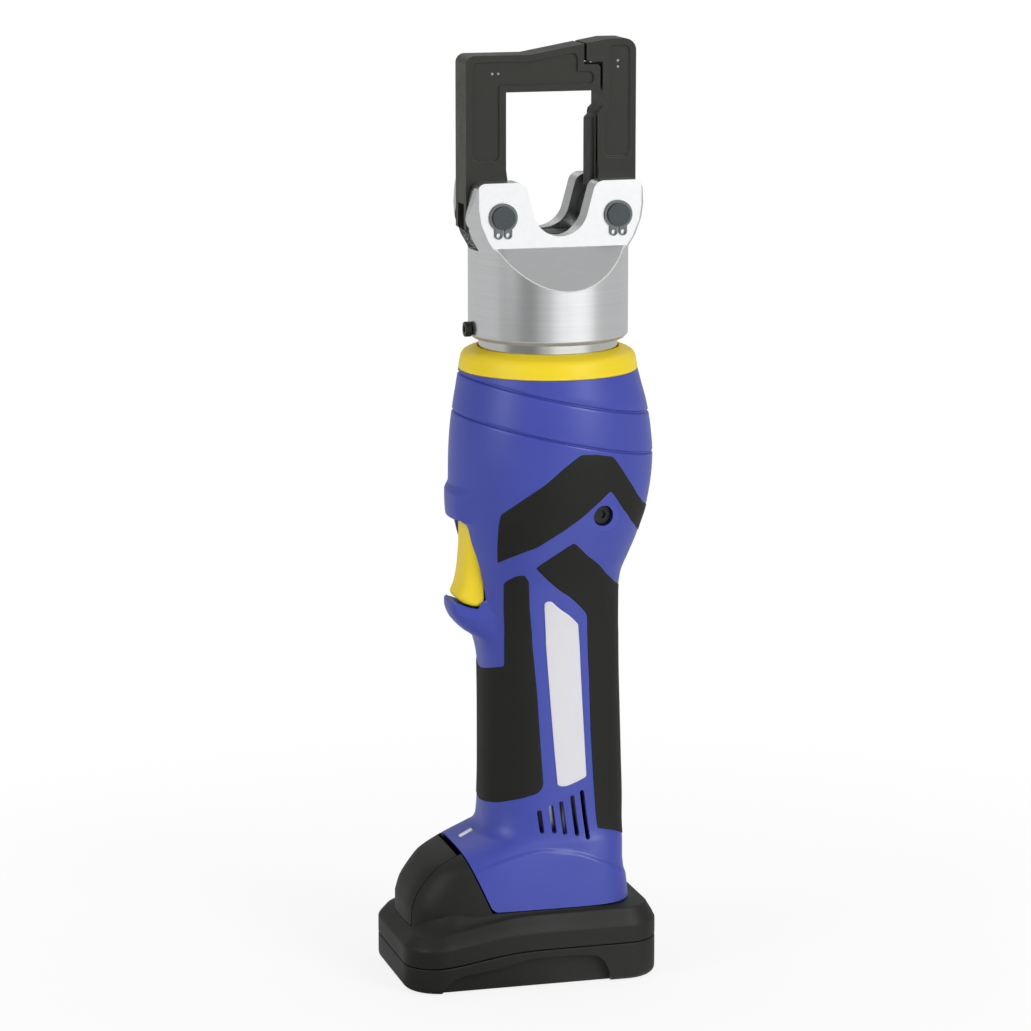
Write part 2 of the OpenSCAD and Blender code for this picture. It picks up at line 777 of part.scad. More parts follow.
module collar_ring() {
    edge = collar_h / 5;
    color("gold")
        translate([0, 0, body_top])
            rotate_extrude()
                polygon([
                    [neck_r + slide_gap, 0], [collar_r, 0], [collar_r - edge / 8, edge],
                    [collar_r - edge / 2, collar_h - 2 * edge], [collar_r - edge, collar_h - 1.3 * edge],
                    [collar_r - 1.7 * edge, collar_h - 0.9 * edge], [neck_r + slide_gap, collar_h]
                ]);
}

// Soft grips on one half of the body

function stations(table) = concat(
    joined([for (i = [0:len(table) - 2]) [for (k = [0:station_steps - 1])
        mix(table[i], table[i + 1], k / station_steps)]]),
    [table[len(table) - 1]]
);
module skin_patch(table, proud, flip = false) {
    rows = stations(table);
    function edge_point(s, j, off) =
        let (share = j / patch_steps)
        skin_point(180 * mix(s[0], s[2], share), skirt_z + mix(s[1], s[3], share) * body_h, off);
    thick_patch(
        [for (s = rows) [for (j = [0:patch_steps]) edge_point(s, j, proud)]],
        [for (s = rows) [for (j = [0:patch_steps]) edge_point(s, j, seat_gap)]],
        flip
    );
}

module upper_grip() {
    color("#262824") skin_patch(upper_grip_shares, inlay_proud);
}
module front_grip() {
    color("#262824") skin_patch(front_grip_shares, inlay_proud);
}
module rear_grip() {
    color("#262824") skin_patch(rear_grip_shares, inlay_proud, true);
}
module upper_grip_left() upper_grip();
module upper_grip_right() mirror([0, 1, 0]) upper_grip();
module front_grip_left() front_grip();
module front_grip_right() mirror([0, 1, 0]) front_grip();
module rear_grip_left() rear_grip();
module rear_grip_right() mirror([0, 1, 0]) rear_grip();

module label_plate() {
    color("gainsboro") skin_patch(label_shares, seat_gap + label_t, true);
}

module status_lens() {
    color("white") lens_block(0);
}

module housing_screws() {
    color("dimgray")
        for (side = [0, 1]) mirror([0, side, 0])
            translate([screw_x, -recess_y(), screw_z])
                rotate([90, 0, 0])
                    difference() {
                        union() {
                            cylinder(r = screw_head_r, h = screw_head_h);
                            translate([0, 0, -screw_l]) cylinder(r = screw_r, h = screw_l);
                        }
                        translate([0, 0, screw_head_h / 2])
                            cylinder(r = screw_head_r / 2, h = screw_head_h, $fn = 6);
                    }
}

// Rail frame, terminals and board

module rail_frame() {
    depth = rail_front + rail_rear;
    color("#303230")
        translate([-rail_front, 0, 0]) {
            translate([0, -rail_half_w, rail_top - rail_t]) cube([depth, 2 * rail_half_w, rail_t]);
            for (side = [0, 1]) mirror([0, side, 0]) {
                translate([0, -rail_half_w, rail_z]) cube([depth, rail_leg_t, rail_top - rail_t - rail_z]);
                translate([0, -rail_half_w, rail_z]) cube([depth, rail_leg_t + rail_in, rail_h]);
            }
            translate([depth - rail_leg_t, -rail_half_w, rail_z])
                cube([rail_leg_t, 2 * rail_half_w, rail_top - rail_t - rail_z]);
        }
}

block_half_w = blade_pitch * 1.6;
terminal_x = tower_rear + slide_gap;
module terminal_block() {
    color("#3a3a38")
        difference() {
            translate([terminal_x, -block_half_w, rail_z + rail_h + slide_gap])
                cube([
                    rail_rear - rail_leg_t - terminal_x, 2 * block_half_w,
                    rail_top - rail_t - rail_z - rail_h - slide_gap
                ]);
            blades(fit_gap);
        }
}
blade_z = tower_top - tower_flange_h / 2 - blade_h / 2;
module blades(grow) {
    for (i = [-1:1])
        translate([terminal_x - blade_l, i * blade_pitch - blade_t / 2 - grow, blade_z - grow])
            cube([blade_l + blade_pitch / 2 + grow, blade_t + 2 * grow, blade_h + 2 * grow]);
}
module terminal_blades() {
    color("darkgoldenrod") blades(0);
}

module control_board() {
    part_h = 5;
    part_t = 2;
    color("seagreen")
        translate([board_x, -board_half_w, rail_top]) {
            cube([board_t, 2 * board_half_w, board_h]);
            for (i = [1:4])
                translate([-part_t, board_half_w / 2, i * 2 * part_h]) cube([part_t, part_h, part_h]);
        }
}

// Motor and planetary gear

module motor_can() {
    end_t = 2;
    color("silver")
        translate([0, 0, motor_z])
            difference() {
                union() {
                    cylinder(r = motor_r, h = motor_l);
                    translate([0, 0, -motor_boss_h]) cylinder(r = motor_boss_r, h = motor_boss_h);
                }
                translate([0, 0, end_t]) cylinder(r = motor_r - end_t, h = motor_l - 2 * end_t);
                translate([0, 0, -motor_boss_h / 2])
                    cylinder(r = shaft_r + fit_gap, h = motor_l + motor_boss_h);
                for (i = [0:3]) rotate([0, 0, 90 * i + 45])
                    translate([motor_r / 2, -end_t, 3 * end_t])
                        cube([motor_r, 2 * end_t, motor_l / 5]);
            }
}

// Half the angle of an involute tooth at a radius
function involute(a) = tan(a) * 180 / PI - a;
function tooth_half(r, teeth, lash) =
    let (pitch_r = gear_m * teeth / 2, base_r = pitch_r * cos(gear_pressure))
    90 / teeth - lash / pitch_r * 45 / PI + involute(gear_pressure) - involute(acos(min(1, base_r / r)));
function gear_outline(teeth, tip_share, root_share, lash) =
    let (
        pitch_r = gear_m * teeth / 2,
        root_r = pitch_r - root_share * gear_m,
        tip_r = pitch_r + tip_share * gear_m,
        base_r = pitch_r * cos(gear_pressure),
        low_r = max(root_r + fit_gap, base_r),
        radii = [root_r, low_r, mix(low_r, tip_r, 0.33), mix(low_r, tip_r, 0.67), tip_r]
    )
    joined([for (i = [0:teeth - 1]) concat(
        [for (r = radii) let (a = 360 * i / teeth - tooth_half(r, teeth, lash)) r * [cos(a), sin(a)]],
        [for (k = [4:-1:0])
            let (a = 360 * i / teeth + tooth_half(radii[k], teeth, lash)) radii[k] * [cos(a), sin(a)]]
    )]);
module gear(teeth) {
    linear_extrude(gear_w)
        polygon(gear_outline(teeth, gear_addendum_share, gear_dedendum_share, gear_lash));
}

module motor_rotor() {
    color("peru")
        translate([0, 0, motor_z]) {
            translate([0, 0, (motor_l - rotor_l) / 2]) cylinder(r = rotor_r, h = rotor_l);
            translate([0, 0, -motor_boss_h / 2 + slide_gap])
                cylinder(r = shaft_r, h = motor_l + ring_floor + motor_boss_h / 2);
            translate([0, 0, motor_l + ring_floor + slide_gap]) gear(sun_teeth);
        }
}

module ring_gear() {
    color("slategray")
        translate([0, 0, gear_z])
            difference() {
                cylinder(r = ring_r, h = ring_h);
                translate([0, 0, ring_floor])
                    rotate([0, 0, 180 / ring_teeth]) linear_extrude(ring_h)
                        polygon(gear_outline(ring_teeth, gear_dedendum_share, gear_addendum_share, -gear_lash));
                translate([0, 0, -overrun]) cylinder(r = shaft_r + pinion_bore_gap, h = ring_h);
            }
}

module planet_gear(i) {
    color("gray")
        rotate([0, 0, 120 * i])
            translate([orbit_r, 0, gear_z + ring_floor + slide_gap])
                difference() {
                    rotate([0, 0, 180 / planet_teeth]) gear(planet_teeth);
                    translate([0, 0, -overrun])
                        cylinder(r = planet_pin_r + fit_gap, h = gear_w + 2 * overrun);
                }
}
module planet_gear_1() planet_gear(0);
module planet_gear_2() planet_gear(1);
module planet_gear_3() planet_gear(2);

module planet_carrier() {
    color("darkgray") {
        difference() {
            translate([0, 0, carrier_z]) cylinder(r = carrier_r, h = carrier_t);
            translate([0, 0, carrier_z - overrun])
                cylinder(r = shaft_r + pinion_bore_gap, h = carrier_t / 2);
        }
        for (i = [0:2]) rotate([0, 0, 120 * i])
            translate([orbit_r, 0, gear_z + ring_floor + slide_gap])
                cylinder(r = planet_pin_r, h = carrier_z - gear_z - ring_floor);
        translate([0, 0, carrier_z + carrier_t / 2]) cylinder(r = shaft_r, h = chamber_top - carrier_z);
        translate([eccentric_throw, 0, eccentric_z]) cylinder(r = eccentric_r, h = eccentric_h);
    }
}

module eccentric_bearing() {
    color("lightsteelblue")
        translate([eccentric_throw, 0, eccentric_z])
            difference() {
                cylinder(r = eccentric_r + bearing_t, h = eccentric_h);
                translate([0, 0, -overrun]) cylinder(r = eccentric_r, h = eccentric_h + 2 * overrun);
            }
}

plunger_x = eccentric_r + bearing_t + eccentric_throw + run_gap;
module plunger_bore(r, x0, x1) {
    translate([x0, 0, eccentric_z + eccentric_h / 2]) rotate([0, 90, 0]) cylinder(r = r, h = x1 - x0);
}
module pump_plunger() {
    color("silver") plunger_bore(plunger_r, plunger_x, block_lower_r - slide_gap);
}

// Pump block, with the eccentric's chamber, the plunger's bore and the screws' holes

module pump_block() {
    color("lightgray")
        difference() {
            union() {
                translate([0, 0, block_z]) cylinder(r = block_lower_r, h = block_step_z - block_z);
                translate([0, 0, block_step_z]) cylinder(r = block_upper_r, h = block_top - block_step_z);
            }
            translate([0, 0, block_z - overrun]) cylinder(r = carrier_r + slide_gap, h = carrier_room());
            translate([0, 0, block_z]) cylinder(r = chamber_r, h = chamber_top - block_z);
            translate([0, 0, block_z])
                cylinder(r = shaft_r + fit_gap, h = chamber_top + carrier_t - block_z);
            plunger_bore(plunger_r + fit_gap, 0, block_lower_r + overrun);
            translate([screw_x, 0, screw_z])
                bar_y(screw_r, -barrel_half_w, -recess_y() + screw_l);
            translate([screw_x, 0, screw_z])
                bar_y(screw_r, recess_y() - screw_l, barrel_half_w);
            for (side = [-1, 1])
                translate([side * oil_way_x(), 0, block_step_z + block_upper_r / 4])
                    cylinder(r = screw_r / 2, h = block_top - block_step_z);
        }
}
function carrier_room() = max(0, carrier_z + carrier_t + run_gap - block_z) + overrun;
function oil_way_x() = cylinder_r / 2;

module reservoir_bladder() {
    z0 = skirt_z + bladder_level_shares[0] * body_h;
    z1 = skirt_z + bladder_level_shares[1] * body_h;
    mid = (z1 - z0) / 6;
    r0 = block_upper_r + seat_gap;
    color("#454542")
        rotate_extrude()
            polygon([
                [r0, z0], [r0 + bladder_t / 2, z0], [r0 + bladder_t, z0 + mid],
                [r0 + bladder_t, z1 - mid], [r0 + bladder_t / 2, z1], [r0, z1]
            ]);
}

// Trigger and switch

module switch_body() {
    color("#1f1f1f")
        difference() {
            translate([switch_front, -switch_half_w, switch_z])
                cube([switch_d, 2 * switch_half_w, switch_h]);
            translate([switch_front - overrun, 0, plunger_z])
                rotate([0, 90, 0]) cylinder(r = plunger_pin_r + fit_gap, h = overrun + switch_d - run_gap);
        }
}
plunger_throw = 3.1;
module switch_plunger() {
    color("ivory")
        translate([trigger_x + run_gap, 0, plunger_z])
            rotate([0, 90, 0])
                cylinder(r = plunger_pin_r, h = switch_back - trigger_x - plunger_throw - 3 * run_gap);
}

module trigger_outline() {
    polygon([for (p = trigger_outline_shares)
        [trigger_x - p[0] * trigger_reach, trigger_z - p[1] * trigger_drop]]);
    translate([trigger_x, trigger_z]) circle(r = trigger_eye_r);
}
module trigger() {
    half = trigger_w / 2;
    color("gold")
        difference() {
            intersection() {
                plate(trigger_w) trigger_outline();
                translate([0, 0, trigger_z - trigger_drop - overrun])
                    linear_extrude(trigger_drop + trigger_eye_r + 2 * overrun)
                        union() {
                            translate([trigger_x - trigger_reach + trigger_round, -half])
                                square([2 * trigger_reach, trigger_w]);
                            translate([trigger_x - trigger_reach, -half + trigger_round])
                                square([2 * trigger_reach, trigger_w - 2 * trigger_round]);
                            for (side = [-1, 1])
                                translate([
                                    trigger_x - trigger_reach + trigger_round, side * (half - trigger_round)
                                ])
                                    circle(r = trigger_round);
                        }
            }
            translate([trigger_x, 0, trigger_z]) bar_y(trigger_pin_r + fit_gap, -trigger_w, trigger_w);
            translate([trigger_x - spring_cup, 0, spring_z])
                rotate([0, 90, 0]) cylinder(r = trigger_spring_r + 2 * slide_gap, h = trigger_reach);
        }
}
spring_cup = 3;
trigger_spring_r = 2.6;
trigger_spring_wire = 0.35;
trigger_spring_turns = 5;
spring_drop_share = 0.914;
spring_z = trigger_z - spring_drop_share * trigger_drop;

module trigger_pin() {
    color("silver")
        translate([trigger_x, 0, trigger_z]) bar_y(trigger_pin_r, -trigger_pin_y(), trigger_pin_y());
}

spring_back = -ring_r;
module trigger_spring() {
    span = spring_back - (trigger_x - spring_cup) - 2 * run_gap - 2 * trigger_spring_wire;
    echo(trigger_spring_gap = coil_gap(trigger_spring_turns, span, trigger_spring_wire));
    color("gray")
        translate([trigger_x - spring_cup + run_gap + trigger_spring_wire, 0, spring_z])
            rotate([0, 90, 0])
                coil(trigger_spring_turns, trigger_spring_r, trigger_spring_wire, span);
}

// Swivel neck, ram and return spring

module swivel_neck() {
    groove_z = neck_top - 3 * seal_w;
    color("gainsboro")
        difference() {
            translate([0, 0, neck_z]) cylinder(r = neck_r, h = neck_h);
            translate([0, 0, neck_z - overrun]) cylinder(r = cylinder_r + fit_gap, h = neck_h + 2 * overrun);
            translate([0, 0, groove_z])
                difference() {
                    cylinder(r = neck_r + overrun, h = seal_w);
                    translate([0, 0, -overrun])
                        cylinder(r = neck_r - seal_depth, h = seal_w + 2 * overrun);
                }
        }
}

module swivel_seal() {
    color("#222222")
        translate([0, 0, neck_top - 3 * seal_w + fit_gap])
            difference() {
                cylinder(r = neck_r, h = seal_w - 2 * fit_gap);
                translate([0, 0, -overrun])
                    cylinder(r = neck_r - seal_depth + fit_gap, h = seal_w + 2 * overrun);
            }
}

module ram_piston() {
    color("silver")
        difference() {
            union() {
                translate([0, 0, piston_z]) cylinder(r = cylinder_r, h = piston_l);
                translate([0, 0, piston_z]) cylinder(r = rod_r, h = holder_z - piston_z);
            }
            translate([0, 0, piston_z + piston_l / 2 - seal_w / 2])
                difference() {
                    cylinder(r = cylinder_r + overrun, h = seal_w);
                    translate([0, 0, -overrun])
                        cylinder(r = cylinder_r - seal_depth, h = seal_w + 2 * overrun);
                }
        }
}

module piston_seal() {
    color("#222222")
        translate([0, 0, piston_z + piston_l / 2 - seal_w / 2 + fit_gap])
            difference() {
                cylinder(r = cylinder_r, h = seal_w - 2 * fit_gap);
                translate([0, 0, -overrun])
                    cylinder(r = cylinder_r - seal_depth + fit_gap, h = seal_w + 2 * overrun);
            }
}

module die_holder() {
    groove = holder_h / 3;
    color("dimgray")
        translate([0, 0, holder_z])
            difference() {
                translate([-holder_half_w, -holder_t / 2, 0]) cube([2 * holder_half_w, holder_t, holder_h]);
                for (side = [-1, 1])
                    translate([side * holder_half_w - groove / 2, -holder_t, groove])
                        cube([groove, 2 * holder_t, groove]);
            }
}

return_spring_r = (rod_r + cylinder_r) / 2;
module return_spring() {
    span = web_z - piston_top - 2 * run_gap - 2 * spring_wire_r;
    echo(return_spring_gap = coil_gap(spring_turns, span, spring_wire_r));
    color("gray")
        translate([0, 0, piston_top + run_gap + spring_wire_r])
            coil(spring_turns, return_spring_r, spring_wire_r, span);
}

// Head with its two ears

module head_turned() {
    z_flare = ear_face_h - head_chamfer;
    rotate_extrude()
        polygon(concat(
            [[0, 0], [head_r - head_chamfer, 0], [head_r, head_chamfer], [head_r, z_flare]],
            [for (s = ear_flare_shares)
                if (s[0] > 0) [head_r + s[1] * ear_flare, z_flare + s[0] * ear_flare_h]],
            [[head_r + ear_flare, ear_top - head_z], [0, ear_top - head_z]]
        ));
}
module head_face_outline() {
    top = ear_top - head_z;
    wide = 2 * head_r;
    low = top - ear_taper_h;
    r = ear_corner_r;
    difference() {
        union() {
            polygon([
                [-wide, -overrun], [wide, -overrun], [wide, low], [ear_top_half + ear_taper, low],
                [ear_top_half + ear_taper * r / ear_taper_h, top - r], [ear_top_half - r, top - r],
                [ear_top_half - r, top], [r - ear_top_half, top], [r - ear_top_half, top - r],
                [-ear_top_half - ear_taper * r / ear_taper_h, top - r], [-ear_top_half - ear_taper, low],
                [-wide, low]
            ]);
            for (side = [-1, 1]) translate([side * (ear_top_half - r), top - r]) circle(r = r);
        }
        head_notch(top);
    }
}
// The notch between the ears: a round floor, leaning walls and rounded lips
module head_notch(top) {
    mid = notch_h + notch_r;
    out = [cos(notch_lean), -sin(notch_lean)];
    lip_z = top - notch_round;
    lip_x = (notch_r + notch_round - (lip_z - mid) * out[1]) / out[0];
    lip = [lip_x, lip_z];
    wall = [notch_r * out + [0, mid], lip - notch_round * out, lip, [lip_x, top + overrun]];
    translate([0, mid]) circle(r = notch_r);
    difference() {
        polygon(concat(wall, [for (i = [3:-1:0]) [-wall[i][0], wall[i][1]]]));
        for (side = [-1, 1]) translate([side * lip_x, lip_z]) circle(r = notch_round);
    }
}

module head_side_outline() {
    run = head_r - ear_half_t;
    reach = 2;
    top = ear_top - head_z + overrun;
    wide = ear_half_t + reach * run;
    polygon([
        [-wide, -overrun], [wide, -overrun], [wide, ear_face_h - reach * slope_drop],
        [ear_half_t, ear_face_h], [ear_half_t, top], [-ear_half_t, top], [-ear_half_t, ear_face_h],
        [-wide, ear_face_h - reach * slope_drop]
    ]);
}
module head_body() {
    long = 4 * head_r;
    color("whitesmoke")
        difference() {
            translate([0, 0, head_z])
                intersection() {
                    head_turned();
                    plate(long) head_face_outline();
                    rotate([90, 0, 90]) linear_extrude(long, center = true) head_side_outline();
                }
            translate([-long / 2, -slot_half, slot_z]) cube([long, 2 * slot_half, long]);
            translate([0, 0, head_z - overrun])
                cylinder(r = neck_r + fit_gap, h = web_z - head_z + overrun);
            translate([0, 0, head_z]) cylinder(r = rod_r + fit_gap, h = rod_room());
            for (side = [-1, 1])
                translate([side * pin_x, 0, pin_z]) bar_y(pin_r, -long, long);
            translate([-head_r - overrun, 0, head_z + head_screw_level])
                rotate([0, 90, 0]) cylinder(r = screw_r, h = head_screw_shank + overrun);
        }
}

function rod_room() = holder_z + ram_stroke + slide_gap - head_z;

module head_screw() {
    color("#20221f")
        translate([-head_r - head_screw_h, 0, head_z + head_screw_level])
            rotate([0, 90, 0])
                difference() {
                    union() {
                        cylinder(r = head_screw_r, h = head_screw_h - seat_gap);
                        cylinder(r = screw_r, h = head_screw_h + head_screw_shank - fit_gap);
                    }
                    translate([0, 0, -overrun]) cylinder(r = head_screw_r / 2, h = 2 * overrun, $fn = 6);
                }
}

// Hinge pins with a groove for each circlip

clip_y = ear_half_t + seat_gap;
module pin(side) {
    color("#55585a")
        translate([side * pin_x, 0, pin_z])
            difference() {
                bar_y(pin_r, -ear_half_t - pin_over, ear_half_t + pin_over);
                for (face = [0, 1]) mirror([0, face, 0])
                    difference() {
                        bar_y(pin_r + overrun, clip_y, clip_y + circlip_t);
                        bar_y(pin_r - circlip_w / 2, clip_y - overrun, clip_y + circlip_t + overrun);
                    }
            }
}
module hinge_pin() pin(-1);
module latch_pin() pin(1);

module circlip_outline() {
    inner_r = pin_r - circlip_w / 2 + fit_gap;
    lug_z = -pin_r - circlip_lug_drop;
    difference() {
        union() {
            circle(r = pin_r + circlip_w);
            for (side = [-1, 1]) translate([side * circlip_lug_x, lug_z]) {
                circle(r = circlip_lug_r);
                translate([-circlip_lug_r, 0]) square([2 * circlip_lug_r, pin_r]);
            }
        }
        circle(r = inner_r);
        translate([-circlip_mouth / 2, lug_z - pin_r]) square([circlip_mouth, 2 * pin_r]);
        for (side = [-1, 1]) translate([side * circlip_lug_x, lug_z]) circle(r = circlip_hole_r);
    }
}
module pin_circlips() {
    color("#7d8083")
        for (side = [-1, 1]) for (face = [0, 1]) mirror([0, face, 0])
            translate([side * pin_x, clip_y + circlip_t / 2, pin_z])
                plate(circlip_t - 2 * fit_gap) circlip_outline();
}

// Swing frame and latch

function top_edge(x) = bar_top + bar_rise * (x - rise_x) / (latch_top_x - rise_x);
tongue_x = beak_x + tongue_l;
tongue_z = window_z + tongue_h;
upright_in = frame_left - upright_w;

module rounded_corner(x, z, r, dx, dz) {
    difference() {
        translate([min(x, x + dx * r), min(z, z + dz * r)]) square(r);
        translate([x + dx * r, z + dz * r]) circle(r = r);
    }
}
module swing_outline() {
    gap = latch_gap / 2;
    difference() {
        polygon([
            [-frame_left, pin_z - arm_corner_drop], [-frame_left, bar_top], [rise_x, bar_top],
            [beak_x - gap, top_edge(beak_x - gap)], [beak_x - gap, tongue_z],
            [tongue_x - gap - tongue_cut, tongue_z], [tongue_x - gap, tongue_z - tongue_cut],
            [tongue_x - gap, window_z], [-upright_in, window_z], [-upright_in, pin_z + flare_z],
            [-pin_x + eye_meet_shares[0] * eye_r, pin_z + eye_meet_shares[1] * eye_r], [-pin_x, pin_z],
            [-pin_x, pin_z - arm_end_drop], [-frame_left + arm_corner_in, pin_z - arm_end_drop]
        ]);
        rounded_corner(-frame_left, bar_top, frame_corner_r, 1, -1);
    }
}
module latch_outline() {
    gap = latch_gap / 2;
    difference() {
        polygon([
            [frame_right, pin_z - arm_corner_drop], [frame_right, frame_top], [latch_top_x, frame_top],
            [beak_x + gap, top_edge(beak_x + gap)], [beak_x + gap, tongue_z + latch_gap + tongue_cut],
            [beak_x + gap + tongue_cut, tongue_z + latch_gap],
            [tongue_x + gap, tongue_z + latch_gap], [tongue_x + gap, window_z - recess_drop],
            [latch_in, window_z - recess_drop - tongue_x - gap + latch_in], [latch_in, pin_z + flare_z],
            [pin_x - eye_meet_shares[0] * eye_r, pin_z + eye_meet_shares[1] * eye_r], [pin_x, pin_z],
            [pin_x, pin_z - arm_end_drop], [frame_right - arm_corner_in, pin_z - arm_end_drop]
        ]);
        rounded_corner(frame_right, frame_top, latch_corner_r, -1, -1);
    }
}
module eye(x) {
    translate([x, 0, pin_z]) bar_y(eye_r, -frame_t / 2, frame_t / 2);
}
module panel_cut(foot_z) {
    for (face = [0, 1]) mirror([0, face, 0])
        translate([0, -frame_t / 2 + panel_depth, 0])
            rotate([90, 0, 0])
                linear_extrude(panel_depth + overrun)
                    offset(r = panel_round)
                        offset(delta = -panel_border - panel_round)
                            intersection() {
                                children();
                                translate([-2 * frame_left, foot_z - panel_border])
                                    square([4 * frame_left, frame_top]);
                            }
}
module dot_pair(x, z, dx, dz) {
    for (side = [-0.5, 0.5])
        translate([x + side * dx, 0, z + side * dz])
            bar_y(dot_r, -frame_t / 2, -frame_t / 2 + panel_depth + dot_depth);
}
module swing_frame() {
    color("#3a3b38")
        difference() {
            union() {
                plate(frame_t) swing_outline();
                eye(-pin_x);
            }
            panel_cut(pin_z + panel_foot) swing_outline();
            dot_pair(-frame_left + 0.75 * upright_w, bar_top - bar_h / 2, dot_pitch, 0);
            translate([-frame_left - overrun, -relief_half_t, pin_z - relief_drop])
                cube([relief_depth + overrun, 2 * relief_half_t, relief_h]);
            translate([-pin_x, 0, pin_z]) bar_y(pin_r + pin_gap, -frame_t, frame_t);
        }
}
module latch_arm() {
    rail_foot = pin_z + eye_r + slide_gap;
    color("#3a3b38")
        difference() {
            union() {
                plate(frame_t) latch_outline();
                eye(pin_x);
                plate(2 * rail_half_t)
                    polygon([
                        [latch_in - rail_proud, rail_foot], [latch_in + overrun, rail_foot],
                        [latch_in + overrun, window_z - rail_top_drop],
                        [latch_in, window_z - rail_top_drop],
                        [latch_in - rail_proud, window_z - rail_top_drop - rail_proud]
                    ]);
            }
            panel_cut(pin_z + panel_foot + slide_gap) latch_outline();
            dot_pair((frame_right + tongue_x) / 2, tongue_z, 0, dot_pitch);
            translate([pin_x, 0, pin_z]) bar_y(pin_r + pin_gap, -frame_t, frame_t);
        }
}

// Battery pack

// Rounded outline at a level that may fall towards the front and be drawn in under the nose
function corner_arc(x, y, q) = [for (k = [0:ring_corner_steps]) [x, y, -90 * q - 90 * k / ring_corner_steps]];
function side_line(y, turn, shares) = [for (s = shares) [-s * pack_front, y, turn]];
function corner_ring(inset, z, fall = 0, draw = 0) =
    let (
        r = max(pack_corner_r - inset, overrun),
        f = -pack_front + inset + r,
        b = pack_rear - inset - r,
        w = pack_w / 2 - inset - r,
        columns = concat(
            corner_arc(b, -w, 0), side_line(-w, -90, side_shares), corner_arc(f, -w, 1),
            corner_arc(f, w, 2), side_line(w, -270, [for (i = [2:-1:0]) side_shares[i]]), corner_arc(b, w, 3)
        )
    )
    [for (c = columns)
        let (
            place = (c[0] + r * cos(c[2])) / pack_front,
            reach = r - draw * lookup(place, draw_shares)
        )
        [c[0] + reach * cos(c[2]), c[1] + reach * sin(c[2]), z - fall * lookup(place, fall_shares)]];
side_shares = [0.31, 0.49, 0.64];
fall_shares = [[-1, 1], [-0.87, 0.98], [-0.64, 0.62], [-0.49, 0.34], [-0.31, 0]];
draw_shares = [[-1, 1], [-0.77, 0]];
nose_draw = 13;
ridge_height_share = 0.8;
ridge_in_share = 0.72;
ridge_fall_share = 1.38;
module pack_form(inset) {
    ridge_z = mix(pack_side_h, pack_deck_h, ridge_height_share);
    loft([
        corner_ring(pack_foot_bevel + inset, inset),
        corner_ring(inset, max(pack_foot_bevel, inset + fit_gap)),
        corner_ring(inset, pack_side_h, pack_side_fall),
        corner_ring(inset + ridge_in_share * pack_bevel, ridge_z - inset, ridge_fall_share * pack_side_fall),
        corner_ring(inset + pack_bevel, pack_deck_h - inset, 0, nose_draw)
    ]);
}
// Everything below the seam, which dips towards the front
module below_seam() {
    low = seam_h - seam_dip;
    plate(2 * pack_w)
        polygon([
            [-2 * pack_front, -overrun], [2 * pack_rear, -overrun], [2 * pack_rear, seam_h],
            [-seam_bend_x, seam_h], [-mix(seam_bend_x, seam_low_x, 0.3), mix(seam_h, low, 0.2)],
            [-mix(seam_bend_x, seam_low_x, 0.7), mix(seam_h, low, 0.8)], [-seam_low_x, low],
            [-2 * pack_front, low]
        ]);
}
module scoops() {
    for (side = [0, 1]) mirror([0, side, 0])
        translate([0, -pack_w / 2 + scoop_depth, 0])
            rotate([90, 0, 0])
                linear_extrude(scoop_depth + pack_w)
                    polygon([
                        [-scoop_front, -overrun], [-scoop_front + scoop_end, scoop_h / 3],
                        [-scoop_front + scoop_lean / 2, 0.75 * scoop_h], [-scoop_front + scoop_lean, scoop_h],
                        [scoop_rear - scoop_end, scoop_h], [scoop_rear - scoop_end / 4, scoop_h - scoop_end],
                        [scoop_rear, -overrun]
                    ]);
}
function pack_screw_places() = [
    for (x = [-pack_front + pack_screw_inset, pack_rear - pack_screw_inset])
        for (side = [-1, 1]) [x, side * (pack_w / 2 - pack_screw_inset)]
];
module pack_screw_holes(r, head_r) {
    for (p = pack_screw_places()) translate([p[0], p[1], 0]) {
        translate([0, 0, -overrun]) cylinder(r = head_r, h = overrun + pack_screw_head_h);
        cylinder(r = r, h = pack_screw_l);
    }
}

module battery_lower_case() {
    color("#2b2d29")
        difference() {
            intersection() {
                pack_form(0);
                below_seam();
            }
            difference() {
                pack_form(pack_wall);
                for (p = pack_screw_places()) translate([p[0], p[1], 0])
                    cylinder(r = 2 * pack_screw_r, h = seam_h - seam_dip);
                for (side = [0, 1]) mirror([0, side, 0])
                    translate([-scoop_front, -pack_w, 0])
                        cube([scoop_front + scoop_rear + pack_wall, pack_w / 2 + scoop_depth + pack_wall,
                            scoop_h + pack_wall]);
            }
            scoops();
            pack_screw_holes(pack_screw_r, pack_screw_head_r + fit_gap);
        }
}

// The pack's nose carries the body's skin on ahead of the joint
module nose_fill(off) {
    z0 = pack_deck_h - nose_sink;
    z1 = skirt_z + foot_to_grip_shares[6][0] * body_h;
    levels = concat([z0], [for (s = body_sections) if (s[0] > z0 && s[0] < z1) s[0]], [z1]);
    loft([for (z = levels) [for (i = [0:2 * turn_steps - 1])
        skin_point(180 * i / turn_steps, z - off / 2, -off) + [0, 0, min(0, -off / 2)]]]);
}
module button_pivot(r, l) {
    translate([button_pivot_x, 0, button_pivot_z])
        bar_y(r, -button_foot_half - l, button_foot_half + l);
}
module button_spring_place() {
    tip = body_sections[4];
    rise = body_sections[5][0] - body_sections[1][0];
    run = body_sections[1][1] - body_sections[5][1];
    translate([-tip[1], 0, tip[0]])
        rotate([0, -atan2(rise, run), 0])
            translate([0, 0, -button_spring_sink])
                children();
}
module button_face(grow) {
    z0 = button_foot_z - grow;
    z1 = skirt_z + joint_top_h;
    rotate([90, 0, -90])
        linear_extrude(2 * pack_front)
            polygon([
                [-button_foot_half - grow, z0], [button_foot_half + grow, z0],
                [button_top_half + grow, z1], [-button_top_half - grow, z1]
            ]);
}
